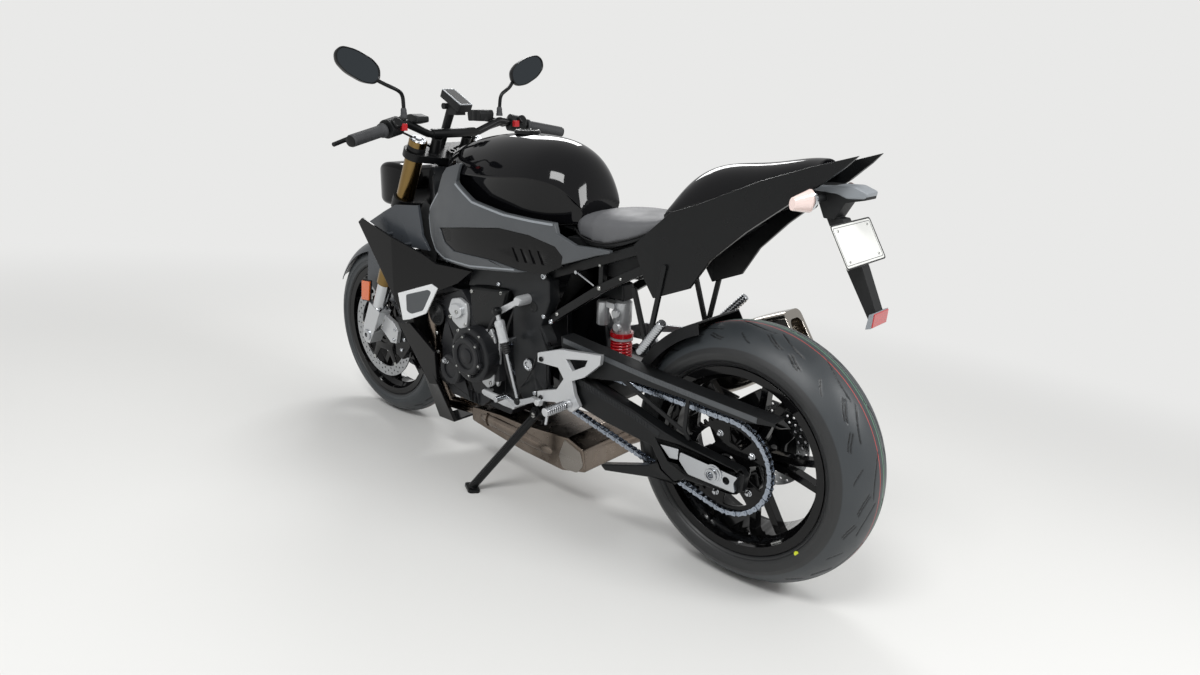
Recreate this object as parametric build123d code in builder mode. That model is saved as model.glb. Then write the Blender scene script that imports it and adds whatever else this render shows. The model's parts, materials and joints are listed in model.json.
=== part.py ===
from build123d import *
import os
from math import asin, atan2, cos, degrees, radians, sin, tan

# Standard motorcycle parked on its side stand. Millimetres.
# Every piece is modelled with the motorcycle upright: x forward from the rear axle,
# y to the rider's left, z up from the ground. At the end all pieces are leaned
# together onto the side stand.

# Driving dimensions
WHEELBASE = 1447.0
LEAN = 8.0
RAKE = 24.2
TRAIL = 96.0
FORK_OFFSET = 35.4
FORK_SPREAD = 105.0

REAR_TYRE_R = 320.5
REAR_TYRE_HALF = 95.0
REAR_TYRE_WIDEST_R = 262.0
REAR_RIM_HALF = 76.2
FRONT_TYRE_R = 300.0
FRONT_TYRE_HALF = 60.0
FRONT_TYRE_WIDEST_R = 258.0
FRONT_RIM_HALF = 44.5
BEAD_R = 216.0
FLANGE_R = 229.0
FLANGE_T = 7.0
RIM_WALL = 7.0
RIM_WELL_DEPTH = 14.0
TYRE_WALL = 10.0
SEAT_GAP = 0.3
GUARD_GAP = 10.5
SWING_GAP = 5.5
STEER_LIMIT = 30.0

# The sizes that the outlines below are drawn at: they follow when these three change
DRAWN_WHEELBASE = 1447.0
DRAWN_REAR_R = 320.5
DRAWN_FRONT_R = 300.0
HEAD_REGION_X = 1100.0

AXLE_R = 12.5
AXLE_BORE_R = 8.0
REAR_HUB_HALF = 62.0
REAR_HUB_R = 38.0
FRONT_HUB_HALF = 58.0
FRONT_HUB_R = 30.0
SPOKES = 5
SPOKE_T = 26.0
REAR_SPOKE_TURN = 36.0

CHAIN_Y = 108.0
CHAIN_PITCH = 15.875
CHAIN_ROLLER_R = 5.08
CHAIN_PLATE_HALF = 7.3
CHAIN_INNER_HALF = 4.6
CHAIN_HALF = 9.0
REAR_TEETH = 45
DRIVE_TEETH = 17
SPROCKET_T = 5.8
DRIVE_DRAWN_X = 715.0
DRIVE_Z = 400.0

FRONT_DISC_R = 160.0
FRONT_DISC_INNER_R = 126.0
FRONT_DISC_Y = 63.0
DISC_T = 4.5
REAR_DISC_R = 110.0
REAR_DISC_INNER_R = 76.0
REAR_DISC_Y = -72.0

PIVOT_X = 635.0
PIVOT_Z = 408.0
ARM_INNER_Y = 122.0
ARM_OUTER_Y = 158.0
FRAME_INNER_Y = 96.0
FRAME_OUTER_Y = 136.0

LOWER_YOKE = 812.0
LOWER_YOKE_T = 40.0
UPPER_YOKE = 988.0
UPPER_YOKE_T = 24.0
FORK_TOP = 1046.0
TUBE_LOW = 526.0
FORK_TUBE_R = 27.0
CLAMP_WALL = 9.0
STANCHION_R = 22.5
STEM_R = 16.0
YOKE_STEM_R = 30.0
HEAD_TUBE_R = 34.0

HANGER_INNER_Y = 165.0
HANGER_T = 13.0

STAND_PIVOT = (597.0, 142.0, 275.0)
STAND_FOOT_X = 735.0
STAND_FOOT_Y = 265.0
STAND_FOLDED = (-0.93, 0.14, -0.34)
STAND_LEG_R = 12.0
STAND_PIN_R = 6.0

# Worked out from the driving dimensions
YOKE_HEAD_GAP = 6.0
rear_axle_point = (0.0, 0.0, REAR_TYRE_R)
front_axle_point = (WHEELBASE, 0.0, FRONT_TYRE_R)
steer_up = Vector(-sin(radians(RAKE)), 0, cos(radians(RAKE)))
steer_fore = Vector(cos(radians(RAKE)), 0, sin(radians(RAKE)))
steer_ground_x = WHEELBASE + TRAIL


def on_steering(height, fore=0.0, side=0.0):
    """Point at a distance up the steering axis, ahead of it and to its left"""
    return Vector(steer_ground_x, 0, 0) + steer_up * height + steer_fore * fore + Vector(0, side, 0)


def on_front_axle(side):
    """Point on the front axle's line"""
    return Vector(WHEELBASE, side, FRONT_TYRE_R)


def drawn(x):
    """Place of a drawn x: fixed behind the swingarm's pivot, with the steering head in front of it"""
    share = min(max((x - PIVOT_X) / (HEAD_REGION_X - PIVOT_X), 0), 1)
    return x + share * (WHEELBASE - DRAWN_WHEELBASE)


def with_rear_axle(points):
    """Drawn (x, z) points that rise with the rear axle, less so towards the pivot"""
    rise = REAR_TYRE_R - DRAWN_REAR_R
    return [(x, z + rise * min(max((PIVOT_X - x) / (PIVOT_X - 100), 0), 1)) for x, z in points]


def with_front_axle(points):
    """Drawn (x, z) points that rise with the front axle"""
    return [(x, z + FRONT_TYRE_R - DRAWN_FRONT_R) for x, z in points]


def crown_radius(outer_r, widest_r, half):
    """Radius of the tread's arc, from its rise over half its width"""
    rise = outer_r - widest_r
    return (half**2 + rise**2) / (2 * rise)


# The lean, and the stand's swing from the ground to its rest under the frame
tread_rise = crown_radius(REAR_TYRE_R, REAR_TYRE_WIDEST_R, REAR_TYRE_HALF) * (1 - cos(radians(LEAN)))
leaned = Location((0, 0, tread_rise), (-LEAN, 0, 0))
foot_plane = Plane(leaned.inverse() * Location((STAND_FOOT_X, STAND_FOOT_Y, 0)))
foot_point = foot_plane.origin
pivot_point = Vector(*STAND_PIVOT)
stand_deployed = (foot_point - pivot_point).normalized()
stand_folded = Vector(*STAND_FOLDED).normalized()
stand_axis = stand_deployed.cross(stand_folded).normalized()
stand_fold_angle = stand_deployed.get_angle(stand_folded)


# Small makers of repeated forms

def placed(point):
    """A drawn tuple in its place, or a worked out vector as it is"""
    return point if isinstance(point, Vector) else Vector(drawn(point[0]), point[1], point[2])


def bar(start, end, radius, bore=0.0):
    """Round bar or tube between two points"""
    start = placed(start)
    along = placed(end) - start
    with BuildPart() as made:
        with BuildSketch(Plane(origin=start, z_dir=along)):
            Circle(radius)
            if bore:
                Circle(bore, mode=Mode.SUBTRACT)
        extrude(amount=along.length)
    return made.part


def plate(outline, y_from, y_to, corner=0.0, hole=None):
    """Plate with a side outline of (x, z) points between two widths"""
    with BuildPart() as made:
        with BuildSketch(Plane.XZ.offset(-y_from)) as side:
            with BuildLine():
                Polyline(*[(drawn(x), z) for x, z in outline], close=True)
            make_face()
            if corner:
                fillet(side.vertices(), corner)
            if hole:
                with BuildLine():
                    Polyline(*[(drawn(x), z) for x, z in hole], close=True)
                make_face(mode=Mode.SUBTRACT)
        extrude(amount=y_from - y_to)
    return made.part


def plan(outline, z_from, z_to):
    """Prism with a plan outline of (x, y) points between two heights"""
    with BuildPart() as made:
        with BuildSketch(Plane.XY.offset(z_from)):
            with BuildLine():
                Polyline(*[(drawn(x), y) for x, y in outline], close=True)
            make_face()
        extrude(amount=z_to - z_from)
    return made.part


def strip(points, width, y_from, y_to):
    """Flat bar of one width that follows (x, z) points"""
    with BuildPart() as made:
        with BuildSketch(Plane.XZ.offset(-y_from)):
            for start, end in zip(points, points[1:]):
                with BuildSketch(mode=Mode.PRIVATE) as one:
                    with Locations((drawn(start[0]), start[1]), (drawn(end[0]), end[1])):
                        Circle(width / 2)
                    make_hull()
                add(one.sketch)
        extrude(amount=y_from - y_to)
    return made.part


def pipe(points, radius, bend, bore=0.0):
    """Tube that follows points, with one bend radius"""
    with BuildPart() as made:
        with BuildLine() as route:
            FilletPolyline(*[placed(point) for point in points], radius=bend)
        with BuildSketch(Plane(origin=route.line @ 0, z_dir=route.line % 0)):
            Circle(radius)
            if bore:
                Circle(bore, mode=Mode.SUBTRACT)
        sweep(path=route.line)
    return made.part


def crowned(stations):
    """Body of sections across x, each with straight flanks under an arched top"""
    with BuildPart() as made:
        for x, low_half, edge_half, z_low, z_edge, z_top in stations:
            with BuildSketch(Plane.YZ.offset(drawn(x))):
                with BuildLine():
                    Polyline((edge_half, z_edge), (low_half, z_low), (-low_half, z_low), (-edge_half, z_edge))
                    ThreePointArc((-edge_half, z_edge), (0, z_top), (edge_half, z_edge))
                make_face()
        loft()
    return made.part


def flared(stations):
    """Body of sections across x, each with bowed flanks between two levels"""
    with BuildPart() as made:
        for x, low_half, mid_half, top_half, z_low, z_mid, z_top in stations:
            with BuildSketch(Plane.YZ.offset(drawn(x))):
                with BuildLine():
                    ThreePointArc((low_half, z_low), (mid_half, z_mid), (top_half, z_top))
                    Line((top_half, z_top), (-top_half, z_top))
                    ThreePointArc((-top_half, z_top), (-mid_half, z_mid), (-low_half, z_low))
                    Line((-low_half, z_low), (low_half, z_low))
                make_face()
        loft()
    return made.part


def tyre(centre, outer_r, widest_r, half, rim_half):
    """Hollow tyre whose beads sit in the rim"""
    bead = BEAD_R + SEAT_GAP
    with BuildPart() as made:
        with BuildSketch(Plane(origin=centre, x_dir=(1, 0, 0), z_dir=(0, 0, 1))):
            with BuildLine():
                Polyline((bead, rim_half - 18), (bead, rim_half - SEAT_GAP),
                         (FLANGE_R + 1.5, rim_half - SEAT_GAP),
                         (FLANGE_R + 3, rim_half + FLANGE_T), (widest_r, half))
                ThreePointArc((widest_r, half), (outer_r, 0), (widest_r, -half))
                Polyline((widest_r, -half), (FLANGE_R + 3, -rim_half - FLANGE_T),
                         (FLANGE_R + 1.5, SEAT_GAP - rim_half), (bead, SEAT_GAP - rim_half),
                         (bead, 18 - rim_half),
                         (widest_r, TYRE_WALL - half))
                ThreePointArc((widest_r, TYRE_WALL - half), (outer_r - TYRE_WALL, 0),
                              (widest_r, half - TYRE_WALL))
                Line((widest_r, half - TYRE_WALL), (bead, rim_half - 18))
            make_face()
        revolve(axis=Axis(centre, (0, 1, 0)))
    return made.part


def rim(centre, rim_half, hub_r, hub_half, bore_r, arm_spread, turn=0.0):
    """Cast wheel: barrel, forked spokes and hub"""
    outer = rim_half + FLANGE_T
    well = BEAD_R - RIM_WELL_DEPTH
    with BuildPart() as made:
        with BuildSketch(Plane(origin=centre, x_dir=(1, 0, 0), z_dir=(0, 0, 1))):
            with BuildLine():
                Polyline((FLANGE_R, outer), (FLANGE_R, rim_half), (BEAD_R, rim_half), (BEAD_R, rim_half - 20),
                         (well, rim_half - 32), (well, 32 - rim_half), (BEAD_R, 20 - rim_half),
                         (BEAD_R, -rim_half), (FLANGE_R, -rim_half), (FLANGE_R, -outer),
                         (BEAD_R - RIM_WALL, -outer + 2), (BEAD_R - RIM_WALL, 16 - rim_half),
                         (well - RIM_WALL, 30 - rim_half), (well - RIM_WALL, rim_half - 30),
                         (BEAD_R - RIM_WALL, rim_half - 16), (BEAD_R - RIM_WALL, outer - 2), close=True)
            make_face()
        revolve(axis=Axis(centre, (0, 1, 0)))
        side = Plane(origin=centre, x_dir=(1, 0, 0), z_dir=(0, -1, 0))
        with BuildSketch(side):
            for hand in (1, -1):
                arm = [(hub_r - 8, hand * 2), (120, hand * 8), (well - 3, hand * arm_spread),
                       (well - 5, hand * (arm_spread + 17)), (112, hand * 25), (hub_r - 8, hand * 17)]
                with PolarLocations(0, SPOKES, start_angle=turn):
                    Polygon(*arm[::hand], align=None)
        extrude(amount=SPOKE_T / 2, both=True)
        with BuildSketch(side):
            Circle(hub_r)
        extrude(amount=hub_half, both=True)
        with BuildSketch(side):
            Circle(bore_r)
        extrude(amount=hub_half, both=True, mode=Mode.SUBTRACT)
    return made.part


pieces = {}


def keep(name, part):
    """Remember a finished upright piece under its node name"""
    pieces[name] = part


# Rear wheel
keep("rear_tyre", tyre(rear_axle_point, REAR_TYRE_R, REAR_TYRE_WIDEST_R, REAR_TYRE_HALF, REAR_RIM_HALF))
keep("rear_rim", rim(rear_axle_point, REAR_RIM_HALF, REAR_HUB_R, REAR_HUB_HALF, AXLE_R + SEAT_GAP, 28,
                     REAR_SPOKE_TURN))

rear_side = Plane(origin=rear_axle_point, x_dir=(1, 0, 0), z_dir=(0, -1, 0))
sprocket_pitch_r = CHAIN_PITCH / 2 / sin(radians(180 / REAR_TEETH))
drive_pitch_r = CHAIN_PITCH / 2 / sin(radians(180 / DRIVE_TEETH))
sprocket_tip_r = sprocket_pitch_r - CHAIN_ROLLER_R - 0.5
sprocket_inner = CHAIN_Y - SPROCKET_T / 2
CARRIER_ARMS = 5
CARRIER_BOLT_R = 76.0

with BuildPart() as rear_sprocket:
    with BuildSketch(rear_side.offset(-sprocket_inner)):
        Circle(sprocket_tip_r)
        Circle(58, mode=Mode.SUBTRACT)
        with PolarLocations(0, CARRIER_ARMS, start_angle=36):
            Polygon((62, -18), (94, -40), (100, -22), (102, 0), (100, 22), (94, 40), (62, 18), align=None,
                    mode=Mode.SUBTRACT)
    extrude(amount=-SPROCKET_T)
    with BuildSketch(rear_side.offset(-REAR_HUB_HALF - SEAT_GAP)):
        Circle(52)
        with PolarLocations(60, CARRIER_ARMS):
            Rectangle(50, 26)
        Circle(AXLE_R + SEAT_GAP, mode=Mode.SUBTRACT)
    extrude(amount=REAR_HUB_HALF + SEAT_GAP - sprocket_inner)
    with BuildSketch(rear_side.offset(-sprocket_inner)):
        Circle(30)
        Circle(AXLE_R + SEAT_GAP, mode=Mode.SUBTRACT)
    extrude(amount=-10)
keep("rear_sprocket", rear_sprocket.part)

with BuildPart() as rear_disc:
    with BuildSketch(rear_side.offset(-REAR_DISC_Y)):
        Circle(REAR_DISC_R)
        Circle(REAR_DISC_INNER_R, mode=Mode.SUBTRACT)
        with PolarLocations(72, CARRIER_ARMS):
            Rectangle(24, 18)
    extrude(amount=DISC_T)
    with BuildSketch(rear_side.offset(-REAR_DISC_Y)):
        with PolarLocations(62, CARRIER_ARMS):
            Rectangle(26, 20)
        Circle(54)
        Circle(AXLE_R + SEAT_GAP, mode=Mode.SUBTRACT)
    extrude(amount=REAR_DISC_Y + REAR_HUB_HALF + SEAT_GAP)
keep("rear_disc", rear_disc.part)

# Front wheel
keep("front_tyre", tyre(front_axle_point, FRONT_TYRE_R, FRONT_TYRE_WIDEST_R, FRONT_TYRE_HALF, FRONT_RIM_HALF))
keep("front_rim", rim(front_axle_point, FRONT_RIM_HALF, FRONT_HUB_R, FRONT_HUB_HALF, AXLE_R + SEAT_GAP, 26))

front_side = Plane(origin=front_axle_point, x_dir=(1, 0, 0), z_dir=(0, -1, 0))
DISC_ARMS = 6
with BuildPart() as front_discs:
    with BuildSketch(front_side.offset(-FRONT_DISC_Y - DISC_T / 2)):
        Circle(FRONT_DISC_R)
        Circle(FRONT_DISC_INNER_R, mode=Mode.SUBTRACT)
        with PolarLocations(98, DISC_ARMS):
            Rectangle(64, 16)
        Circle(74)
        Circle(44, mode=Mode.SUBTRACT)
    extrude(amount=DISC_T)
    with BuildSketch(front_side.offset(-FRONT_DISC_Y + DISC_T / 2)):
        Circle(50)
        Circle(FRONT_HUB_R + SEAT_GAP, mode=Mode.SUBTRACT)
    extrude(amount=10)
    mirror(about=Plane.XZ)
keep("front_discs", front_discs.part)

# Chain: a loop round both sprockets, its rollers between two rows of plates
DRIVE_X = drawn(DRIVE_DRAWN_X)
run_length = ((DRIVE_X**2) + (DRIVE_Z - REAR_TYRE_R) ** 2) ** 0.5
run_slope = degrees(atan2(DRIVE_Z - REAR_TYRE_R, DRIVE_X))
run_taper = degrees(asin((sprocket_pitch_r - drive_pitch_r) / run_length))


def chain_loop(grow):
    """Outline of the chain's path, offset outwards"""
    upper = radians(run_slope - run_taper + 90)
    lower = radians(run_slope + run_taper - 90)
    big = sprocket_pitch_r + grow
    small = drive_pitch_r + grow

    def on_big(angle):
        return (big * cos(angle), REAR_TYRE_R + big * sin(angle))

    def on_small(angle):
        return (DRIVE_X + small * cos(angle), DRIVE_Z + small * sin(angle))

    with BuildSketch(mode=Mode.PRIVATE) as loop:
        with BuildLine():
            Line(on_big(upper), on_small(upper))
            ThreePointArc(on_small(upper), on_small((upper + lower) / 2), on_small(lower))
            Line(on_small(lower), on_big(lower))
            ThreePointArc(on_big(lower), on_big((upper + lower) / 2 + radians(180)), on_big(upper))
        make_face()
    return loop.sketch


with BuildPart() as chain:
    with BuildSketch(Plane.XZ.offset(-CHAIN_Y)):
        add(chain_loop(CHAIN_ROLLER_R))
        add(chain_loop(-CHAIN_ROLLER_R), mode=Mode.SUBTRACT)
    extrude(amount=CHAIN_INNER_HALF, both=True)
    for hand in (-1, 1):
        with BuildSketch(Plane.XZ.offset(-CHAIN_Y - hand * CHAIN_INNER_HALF)):
            add(chain_loop(CHAIN_PLATE_HALF))
            add(chain_loop(-CHAIN_PLATE_HALF), mode=Mode.SUBTRACT)
        extrude(amount=-hand * (CHAIN_HALF - CHAIN_INNER_HALF))
keep("chain", chain.part)

# Swingarm: pivot tube, cross member between the chain's runs, two long arms
arm_outline = with_rear_axle([(500, 438), (408, 429), (345, 415), (246, 396), (153, 371), (85, 359),
                              (-55, 344), (-70, 330),
               (-66, 288), (-50, 282), (85, 270), (112, 252), (153, 272), (185, 322), (333, 336), (413, 350),
               (500, 372)])
fin_outline = with_rear_axle([(352, 212), (335, 200), (194, 234), (104, 250), (100, 268), (160, 290),
                              (205, 262)])
adjuster_outline = with_rear_axle([(96, 340), (-62, 332), (-58, 292), (70, 292), (98, 318)])
wedge_outline = with_rear_axle([(158, 338), (104, 343), (104, 316), (128, 312)])
pocket_outline = with_rear_axle([(166, 345), (100, 350), (-70, 338), (-70, 286), (76, 286), (104, 308),
                                 (132, 306)])
POCKET_FLOOR_Y = 148.0
with BuildPart() as swingarm:
    add(bar((PIVOT_X, -FRAME_INNER_Y + 1, PIVOT_Z), (PIVOT_X, FRAME_INNER_Y - 1, PIVOT_Z), 23, 12))
    add(plate([(627, 428), (470, 426), (395, 424), (385, 405), (385, 352), (400, 334), (470, 338),
               (627, 384)],
              -FRAME_INNER_Y + 4, FRAME_INNER_Y - 4))
    add(plate([(524, 428), (395, 424), (385, 405), (385, 352), (400, 334), (470, 338), (524, 347)],
              -ARM_INNER_Y - 2, ARM_INNER_Y + 2))
    add(bar((PIVOT_X, -FRAME_INNER_Y, PIVOT_Z), (PIVOT_X, FRAME_INNER_Y, PIVOT_Z), 12), mode=Mode.SUBTRACT)
    add(plate(arm_outline, ARM_INNER_Y, ARM_OUTER_Y))
    add(plate(arm_outline, -ARM_OUTER_Y, -ARM_INNER_Y))
    add(plate(fin_outline, ARM_INNER_Y + 4, ARM_OUTER_Y - 4))
    for hand in (1, -1):
        add(plate(pocket_outline, hand * POCKET_FLOOR_Y, hand * (ARM_OUTER_Y + 1)), mode=Mode.SUBTRACT)
        with BuildSketch(rear_side):
            SlotOverall(56, 2 * AXLE_R + 2)
        extrude(amount=-hand * (ARM_OUTER_Y + 1), mode=Mode.SUBTRACT)
keep("swingarm", swingarm.part)

# Rear axle with its spacers, the adjusters in the arm ends and the wedges in front
with BuildPart() as rear_axle:
    add(bar((0, -172, REAR_TYRE_R), (0, 180, REAR_TYRE_R), AXLE_R))
    add(bar((0, sprocket_inner + 11, REAR_TYRE_R), (0, ARM_INNER_Y - SEAT_GAP, REAR_TYRE_R), 20))
    add(bar((0, REAR_DISC_Y - DISC_T - 1, REAR_TYRE_R), (0, SEAT_GAP - ARM_INNER_Y, REAR_TYRE_R), 20))
    for hand in (1, -1):
        add(plate(adjuster_outline, hand * (POCKET_FLOOR_Y + SEAT_GAP), hand * (ARM_OUTER_Y + 6)))
        add(plate(wedge_outline, hand * (POCKET_FLOOR_Y + SEAT_GAP), hand * (ARM_OUTER_Y + 2)))
        add(bar((0, hand * (ARM_OUTER_Y + 6), REAR_TYRE_R), (0, hand * (ARM_OUTER_Y + 16), REAR_TYRE_R), 21))
    add(bar((0, -190, REAR_TYRE_R), (0, 190, REAR_TYRE_R), AXLE_BORE_R), mode=Mode.SUBTRACT)
keep("rear_axle", rear_axle.part)

# Room that the fork and its yokes sweep between the steering's limits
def sweep_room():
    """Space of the tubes and the yokes at every steering angle, with the swing's clearance"""
    reach = (FORK_OFFSET**2 + FORK_SPREAD**2) ** 0.5
    back = radians(degrees(atan2(FORK_SPREAD, FORK_OFFSET)) + STEER_LIMIT)
    far = 3 * reach
    tube_room = FORK_TUBE_R + SWING_GAP
    with BuildPart() as made:
        with BuildSketch(Plane(origin=on_steering(LOWER_YOKE - SWING_GAP), x_dir=steer_fore, z_dir=steer_up)):
            Circle(reach + tube_room)
            Circle(reach - tube_room, mode=Mode.SUBTRACT)
            with BuildLine():
                Polyline((0, 0), (far * cos(back), far * sin(back)), (-far, far), (-far, -far),
                         (far * cos(back), -far * sin(back)), close=True)
            make_face(mode=Mode.SUBTRACT)
            with Locations((reach * cos(back), reach * sin(back)), (reach * cos(back), -reach * sin(back))):
                Circle(tube_room)
        extrude(amount=FORK_TOP - LOWER_YOKE + 2 * SWING_GAP)
        for height, tall in [(LOWER_YOKE, LOWER_YOKE_T), (UPPER_YOKE, UPPER_YOKE_T)]:
            for turn in (-STEER_LIMIT, -STEER_LIMIT / 2, 0, STEER_LIMIT / 2, STEER_LIMIT):
                with BuildSketch(Plane(origin=on_steering(height - SWING_GAP), x_dir=steer_fore,
                                       z_dir=steer_up)):
                    with BuildSketch(mode=Mode.PRIVATE) as yoke:
                        with Locations((FORK_OFFSET, FORK_SPREAD), (FORK_OFFSET, -FORK_SPREAD)):
                            Circle(FORK_TUBE_R + CLAMP_WALL + SWING_GAP)
                        Circle(YOKE_STEM_R + SWING_GAP)
                        make_hull()
                    add(yoke.sketch.rotate(Axis.Z, turn))
                extrude(amount=tall + 2 * SWING_GAP)
    return made.part


steering_room = sweep_room()

# Frame: two side beams, steering head and cross tubes
frame_outline = [(1212, 812), (1170, 892), (1118, 888), (1062, 850), (1000, 776), (640, 735), (592, 672),
                 (562, 655), (560, 600), (574, 562), (592, 526), (568, 490), (560, 440), (560, 330),
                 (600, 298),
                 (664, 298), (690, 330), (702, 400), (704, 540), (700, 590), (719, 601), (798, 596),
                 (894, 578), (869, 638), (1090, 627), (1124, 690), (1136, 758)]
frame_plan = [(550, FRAME_OUTER_Y), (1040, FRAME_OUTER_Y), (1150, 62), (1230, 20), (1230, -20), (1150, -62),
              (1040, -FRAME_OUTER_Y), (550, -FRAME_OUTER_Y)]
frame_void = [(540, FRAME_INNER_Y), (1030, FRAME_INNER_Y), (1100, 44), (1100, -44), (1030, -FRAME_INNER_Y),
              (540, -FRAME_INNER_Y)]
SHOCK_TOP_Z = 611.0
HEAD_LOW = LOWER_YOKE + LOWER_YOKE_T + YOKE_HEAD_GAP
HEAD_HIGH = UPPER_YOKE - YOKE_HEAD_GAP
HANGER_BOLTS = [(547, 456), (547, 347)]
chain_pocket = [(540, 472), (720, 478), (720, 318), (540, 300)]
CHAIN_POCKET_Y = 119.0
with BuildPart() as frame:
    add(plate(frame_outline, -FRAME_OUTER_Y, FRAME_OUTER_Y))
    add(plan(frame_plan, 250, 950), mode=Mode.INTERSECT)
    add(plan(frame_void, 200, 1000), mode=Mode.SUBTRACT)
    add(plate(chain_pocket, FRAME_INNER_Y - 1, CHAIN_POCKET_Y), mode=Mode.SUBTRACT)
    add(steering_room, mode=Mode.SUBTRACT)
    add(bar(on_steering(HEAD_LOW), on_steering(HEAD_HIGH), HEAD_TUBE_R))
    add(bar(on_steering(HEAD_LOW - 70), on_steering(HEAD_HIGH + 70), STEM_R + 0.5), mode=Mode.SUBTRACT)
    add(bar((590, -FRAME_INNER_Y - 4, 610), (590, FRAME_INNER_Y + 4, 610), 22))
    add(bar((625, -FRAME_INNER_Y - 4, 304), (625, FRAME_INNER_Y + 4, 304), 11))
    add(bar((PIVOT_X, -FRAME_OUTER_Y - 5, PIVOT_Z), (PIVOT_X, FRAME_OUTER_Y + 5, PIVOT_Z), 11.7))
    add(plate([(600, 640), (440, 662), (408, 655), (404, SHOCK_TOP_Z), (462, SHOCK_TOP_Z), (600, 590)], -22,
              22))
    for hand in (1, -1):
        for x, z in HANGER_BOLTS:
            add(bar((x, hand * (CHAIN_POCKET_Y + 1), z), (x, hand * HANGER_INNER_Y, z), 14))
            add(plate([(x, z + 12), (x + 30, z + 12), (x + 30, z - 12), (x, z - 12)],
                      hand * (CHAIN_POCKET_Y + 1), hand * FRAME_OUTER_Y))
    add(plate([(588, 330), (650, 330), (618, 262), (584, 250), (578, 290)], CHAIN_POCKET_Y,
              CHAIN_POCKET_Y + 14))
    add(bar(pivot_point - stand_axis * 12.6, pivot_point + stand_axis * 40, 22), mode=Mode.SUBTRACT)
    add(bar(pivot_point - stand_axis * 34, pivot_point - stand_axis * 12.6, 18))
    add(bar(pivot_point - stand_axis * 20, pivot_point + stand_axis * 15, STAND_PIN_R))
    add(bar(pivot_point + stand_axis * 12.5, pivot_point + stand_axis * 16, 10))
keep("frame", frame.part)

# Subframe: two bars a side, cross tubes and the tail beam
upper_rail = [(574, 668), (263, 788), (110, 862), (-70, 938)]
lower_rail = [(570, 548), (528, 578), (403, 662), (335, 700), (222, 758), (180, 822)]
RAIL_OUTER_Y = 118.0
RAIL_T = 20.0
tail_plan = [(700, 200), (300, 200), (250, RAIL_OUTER_Y + 2), (60, 84), (-90, 52), (-90, 0), (700, 0)]
with BuildPart() as subframe_side:
    add(strip(upper_rail, 24, 24, RAIL_OUTER_Y))
    add(strip(lower_rail, 22, 24, RAIL_OUTER_Y))
    add(strip([(403, 732), (403, 662)], 14, 24, RAIL_OUTER_Y - 3))
    add(plan(tail_plan, 500, 1000), mode=Mode.INTERSECT)
    add(plan([(700, RAIL_OUTER_Y - RAIL_T), (250, RAIL_OUTER_Y - RAIL_T), (60, 62), (-100, 30), (-100, -10),
              (700, -10)], 500, 1000), mode=Mode.SUBTRACT)
with BuildPart() as subframe:
    add(subframe_side.part)
    mirror(about=Plane.XZ)
    for x, z, half in [(500, 697, 112), (230, 770, 112), (-40, 925, 56)]:
        add(bar((x, -half, z), (x, half, z), 9))
    add(frame.part, mode=Mode.SUBTRACT)
keep("subframe", subframe.part)

# Engine: one block inside its covers, with the head leaning forward
ENGINE_HALF = 150.0
ENGINE_INNER_HALF = 92.0
CYLINDER_RIBS = (488, 504, 520)
CASE_RIBS = (832, 850, 868)
RIB_T = 4.0
RIB_RISE = 5.0
crankcase_outline = [(712, 300), (760, 206), (960, 206), (1006, 262), (1004, 400), (985, 470), (1044, 500),
                     (1052, 572), (900, 572), (868, 540), (800, 560), (712, 540)]
wide_outline = [(784, 262), (820, 232), (960, 232), (1004, 270), (1003, 400), (982, 470), (1040, 500),
                (1048, 568), (905, 568), (870, 530), (784, 520)]
upper_outline = [(706, 540), (1036, 558), (1036, 640), (960, 700), (640, 700), (640, 560)]
with BuildPart() as engine_block:
    add(plate(crankcase_outline, -ENGINE_INNER_HALF, ENGINE_INNER_HALF))
    add(plate(upper_outline, 4 - ENGINE_INNER_HALF, ENGINE_INNER_HALF - 4))
    add(plate(wide_outline, -ENGINE_HALF, ENGINE_HALF))
    for z in CYLINDER_RIBS:
        add(plate([(986, z), (1042, z), (1042, z + RIB_T), (986, z + RIB_T)], -ENGINE_HALF - RIB_RISE,
                  ENGINE_HALF + RIB_RISE))
    for x in CASE_RIBS:
        add(plate([(x, 236), (x + RIB_T, 236), (x + RIB_T, 268), (x, 268)], -ENGINE_HALF - RIB_RISE,
                  ENGINE_HALF + RIB_RISE))
keep("engine_block", engine_block.part)

cover_table = [
    # x, z, radius, inner y, outer y, side
    (820, 400, 80, ENGINE_HALF + SEAT_GAP, 192, 1),
    (820, 400, 56, 192, 205, 1),
    (936, 322, 46, ENGINE_HALF + SEAT_GAP, 172, 1),
    (826, 372, 92, ENGINE_HALF + SEAT_GAP, 190, -1),
    (826, 372, 66, 190, 204, -1),
    (936, 322, 44, ENGINE_HALF + SEAT_GAP, 172, -1),
]
with BuildPart() as engine_covers:
    for x, z, radius, y_in, y_out, hand in cover_table:
        add(bar((x, hand * y_in, z), (x, hand * y_out, z), radius))
    add(plate([(742, 330), (781, 318), (782, 470), (745, 476)], 124, 152))
    for y_in, y_out, radius in [(ENGINE_INNER_HALF, 98.5, 20), (98.5, CHAIN_Y + 6, 16),
                                (CHAIN_Y - SPROCKET_T / 2, CHAIN_Y + SPROCKET_T / 2,
                                 drive_pitch_r - CHAIN_ROLLER_R - 0.5)]:
        add(bar((DRIVE_DRAWN_X, y_in, DRIVE_Z), (DRIVE_DRAWN_X, y_out, DRIVE_Z), radius))
keep("engine_covers", engine_covers.part)

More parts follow.
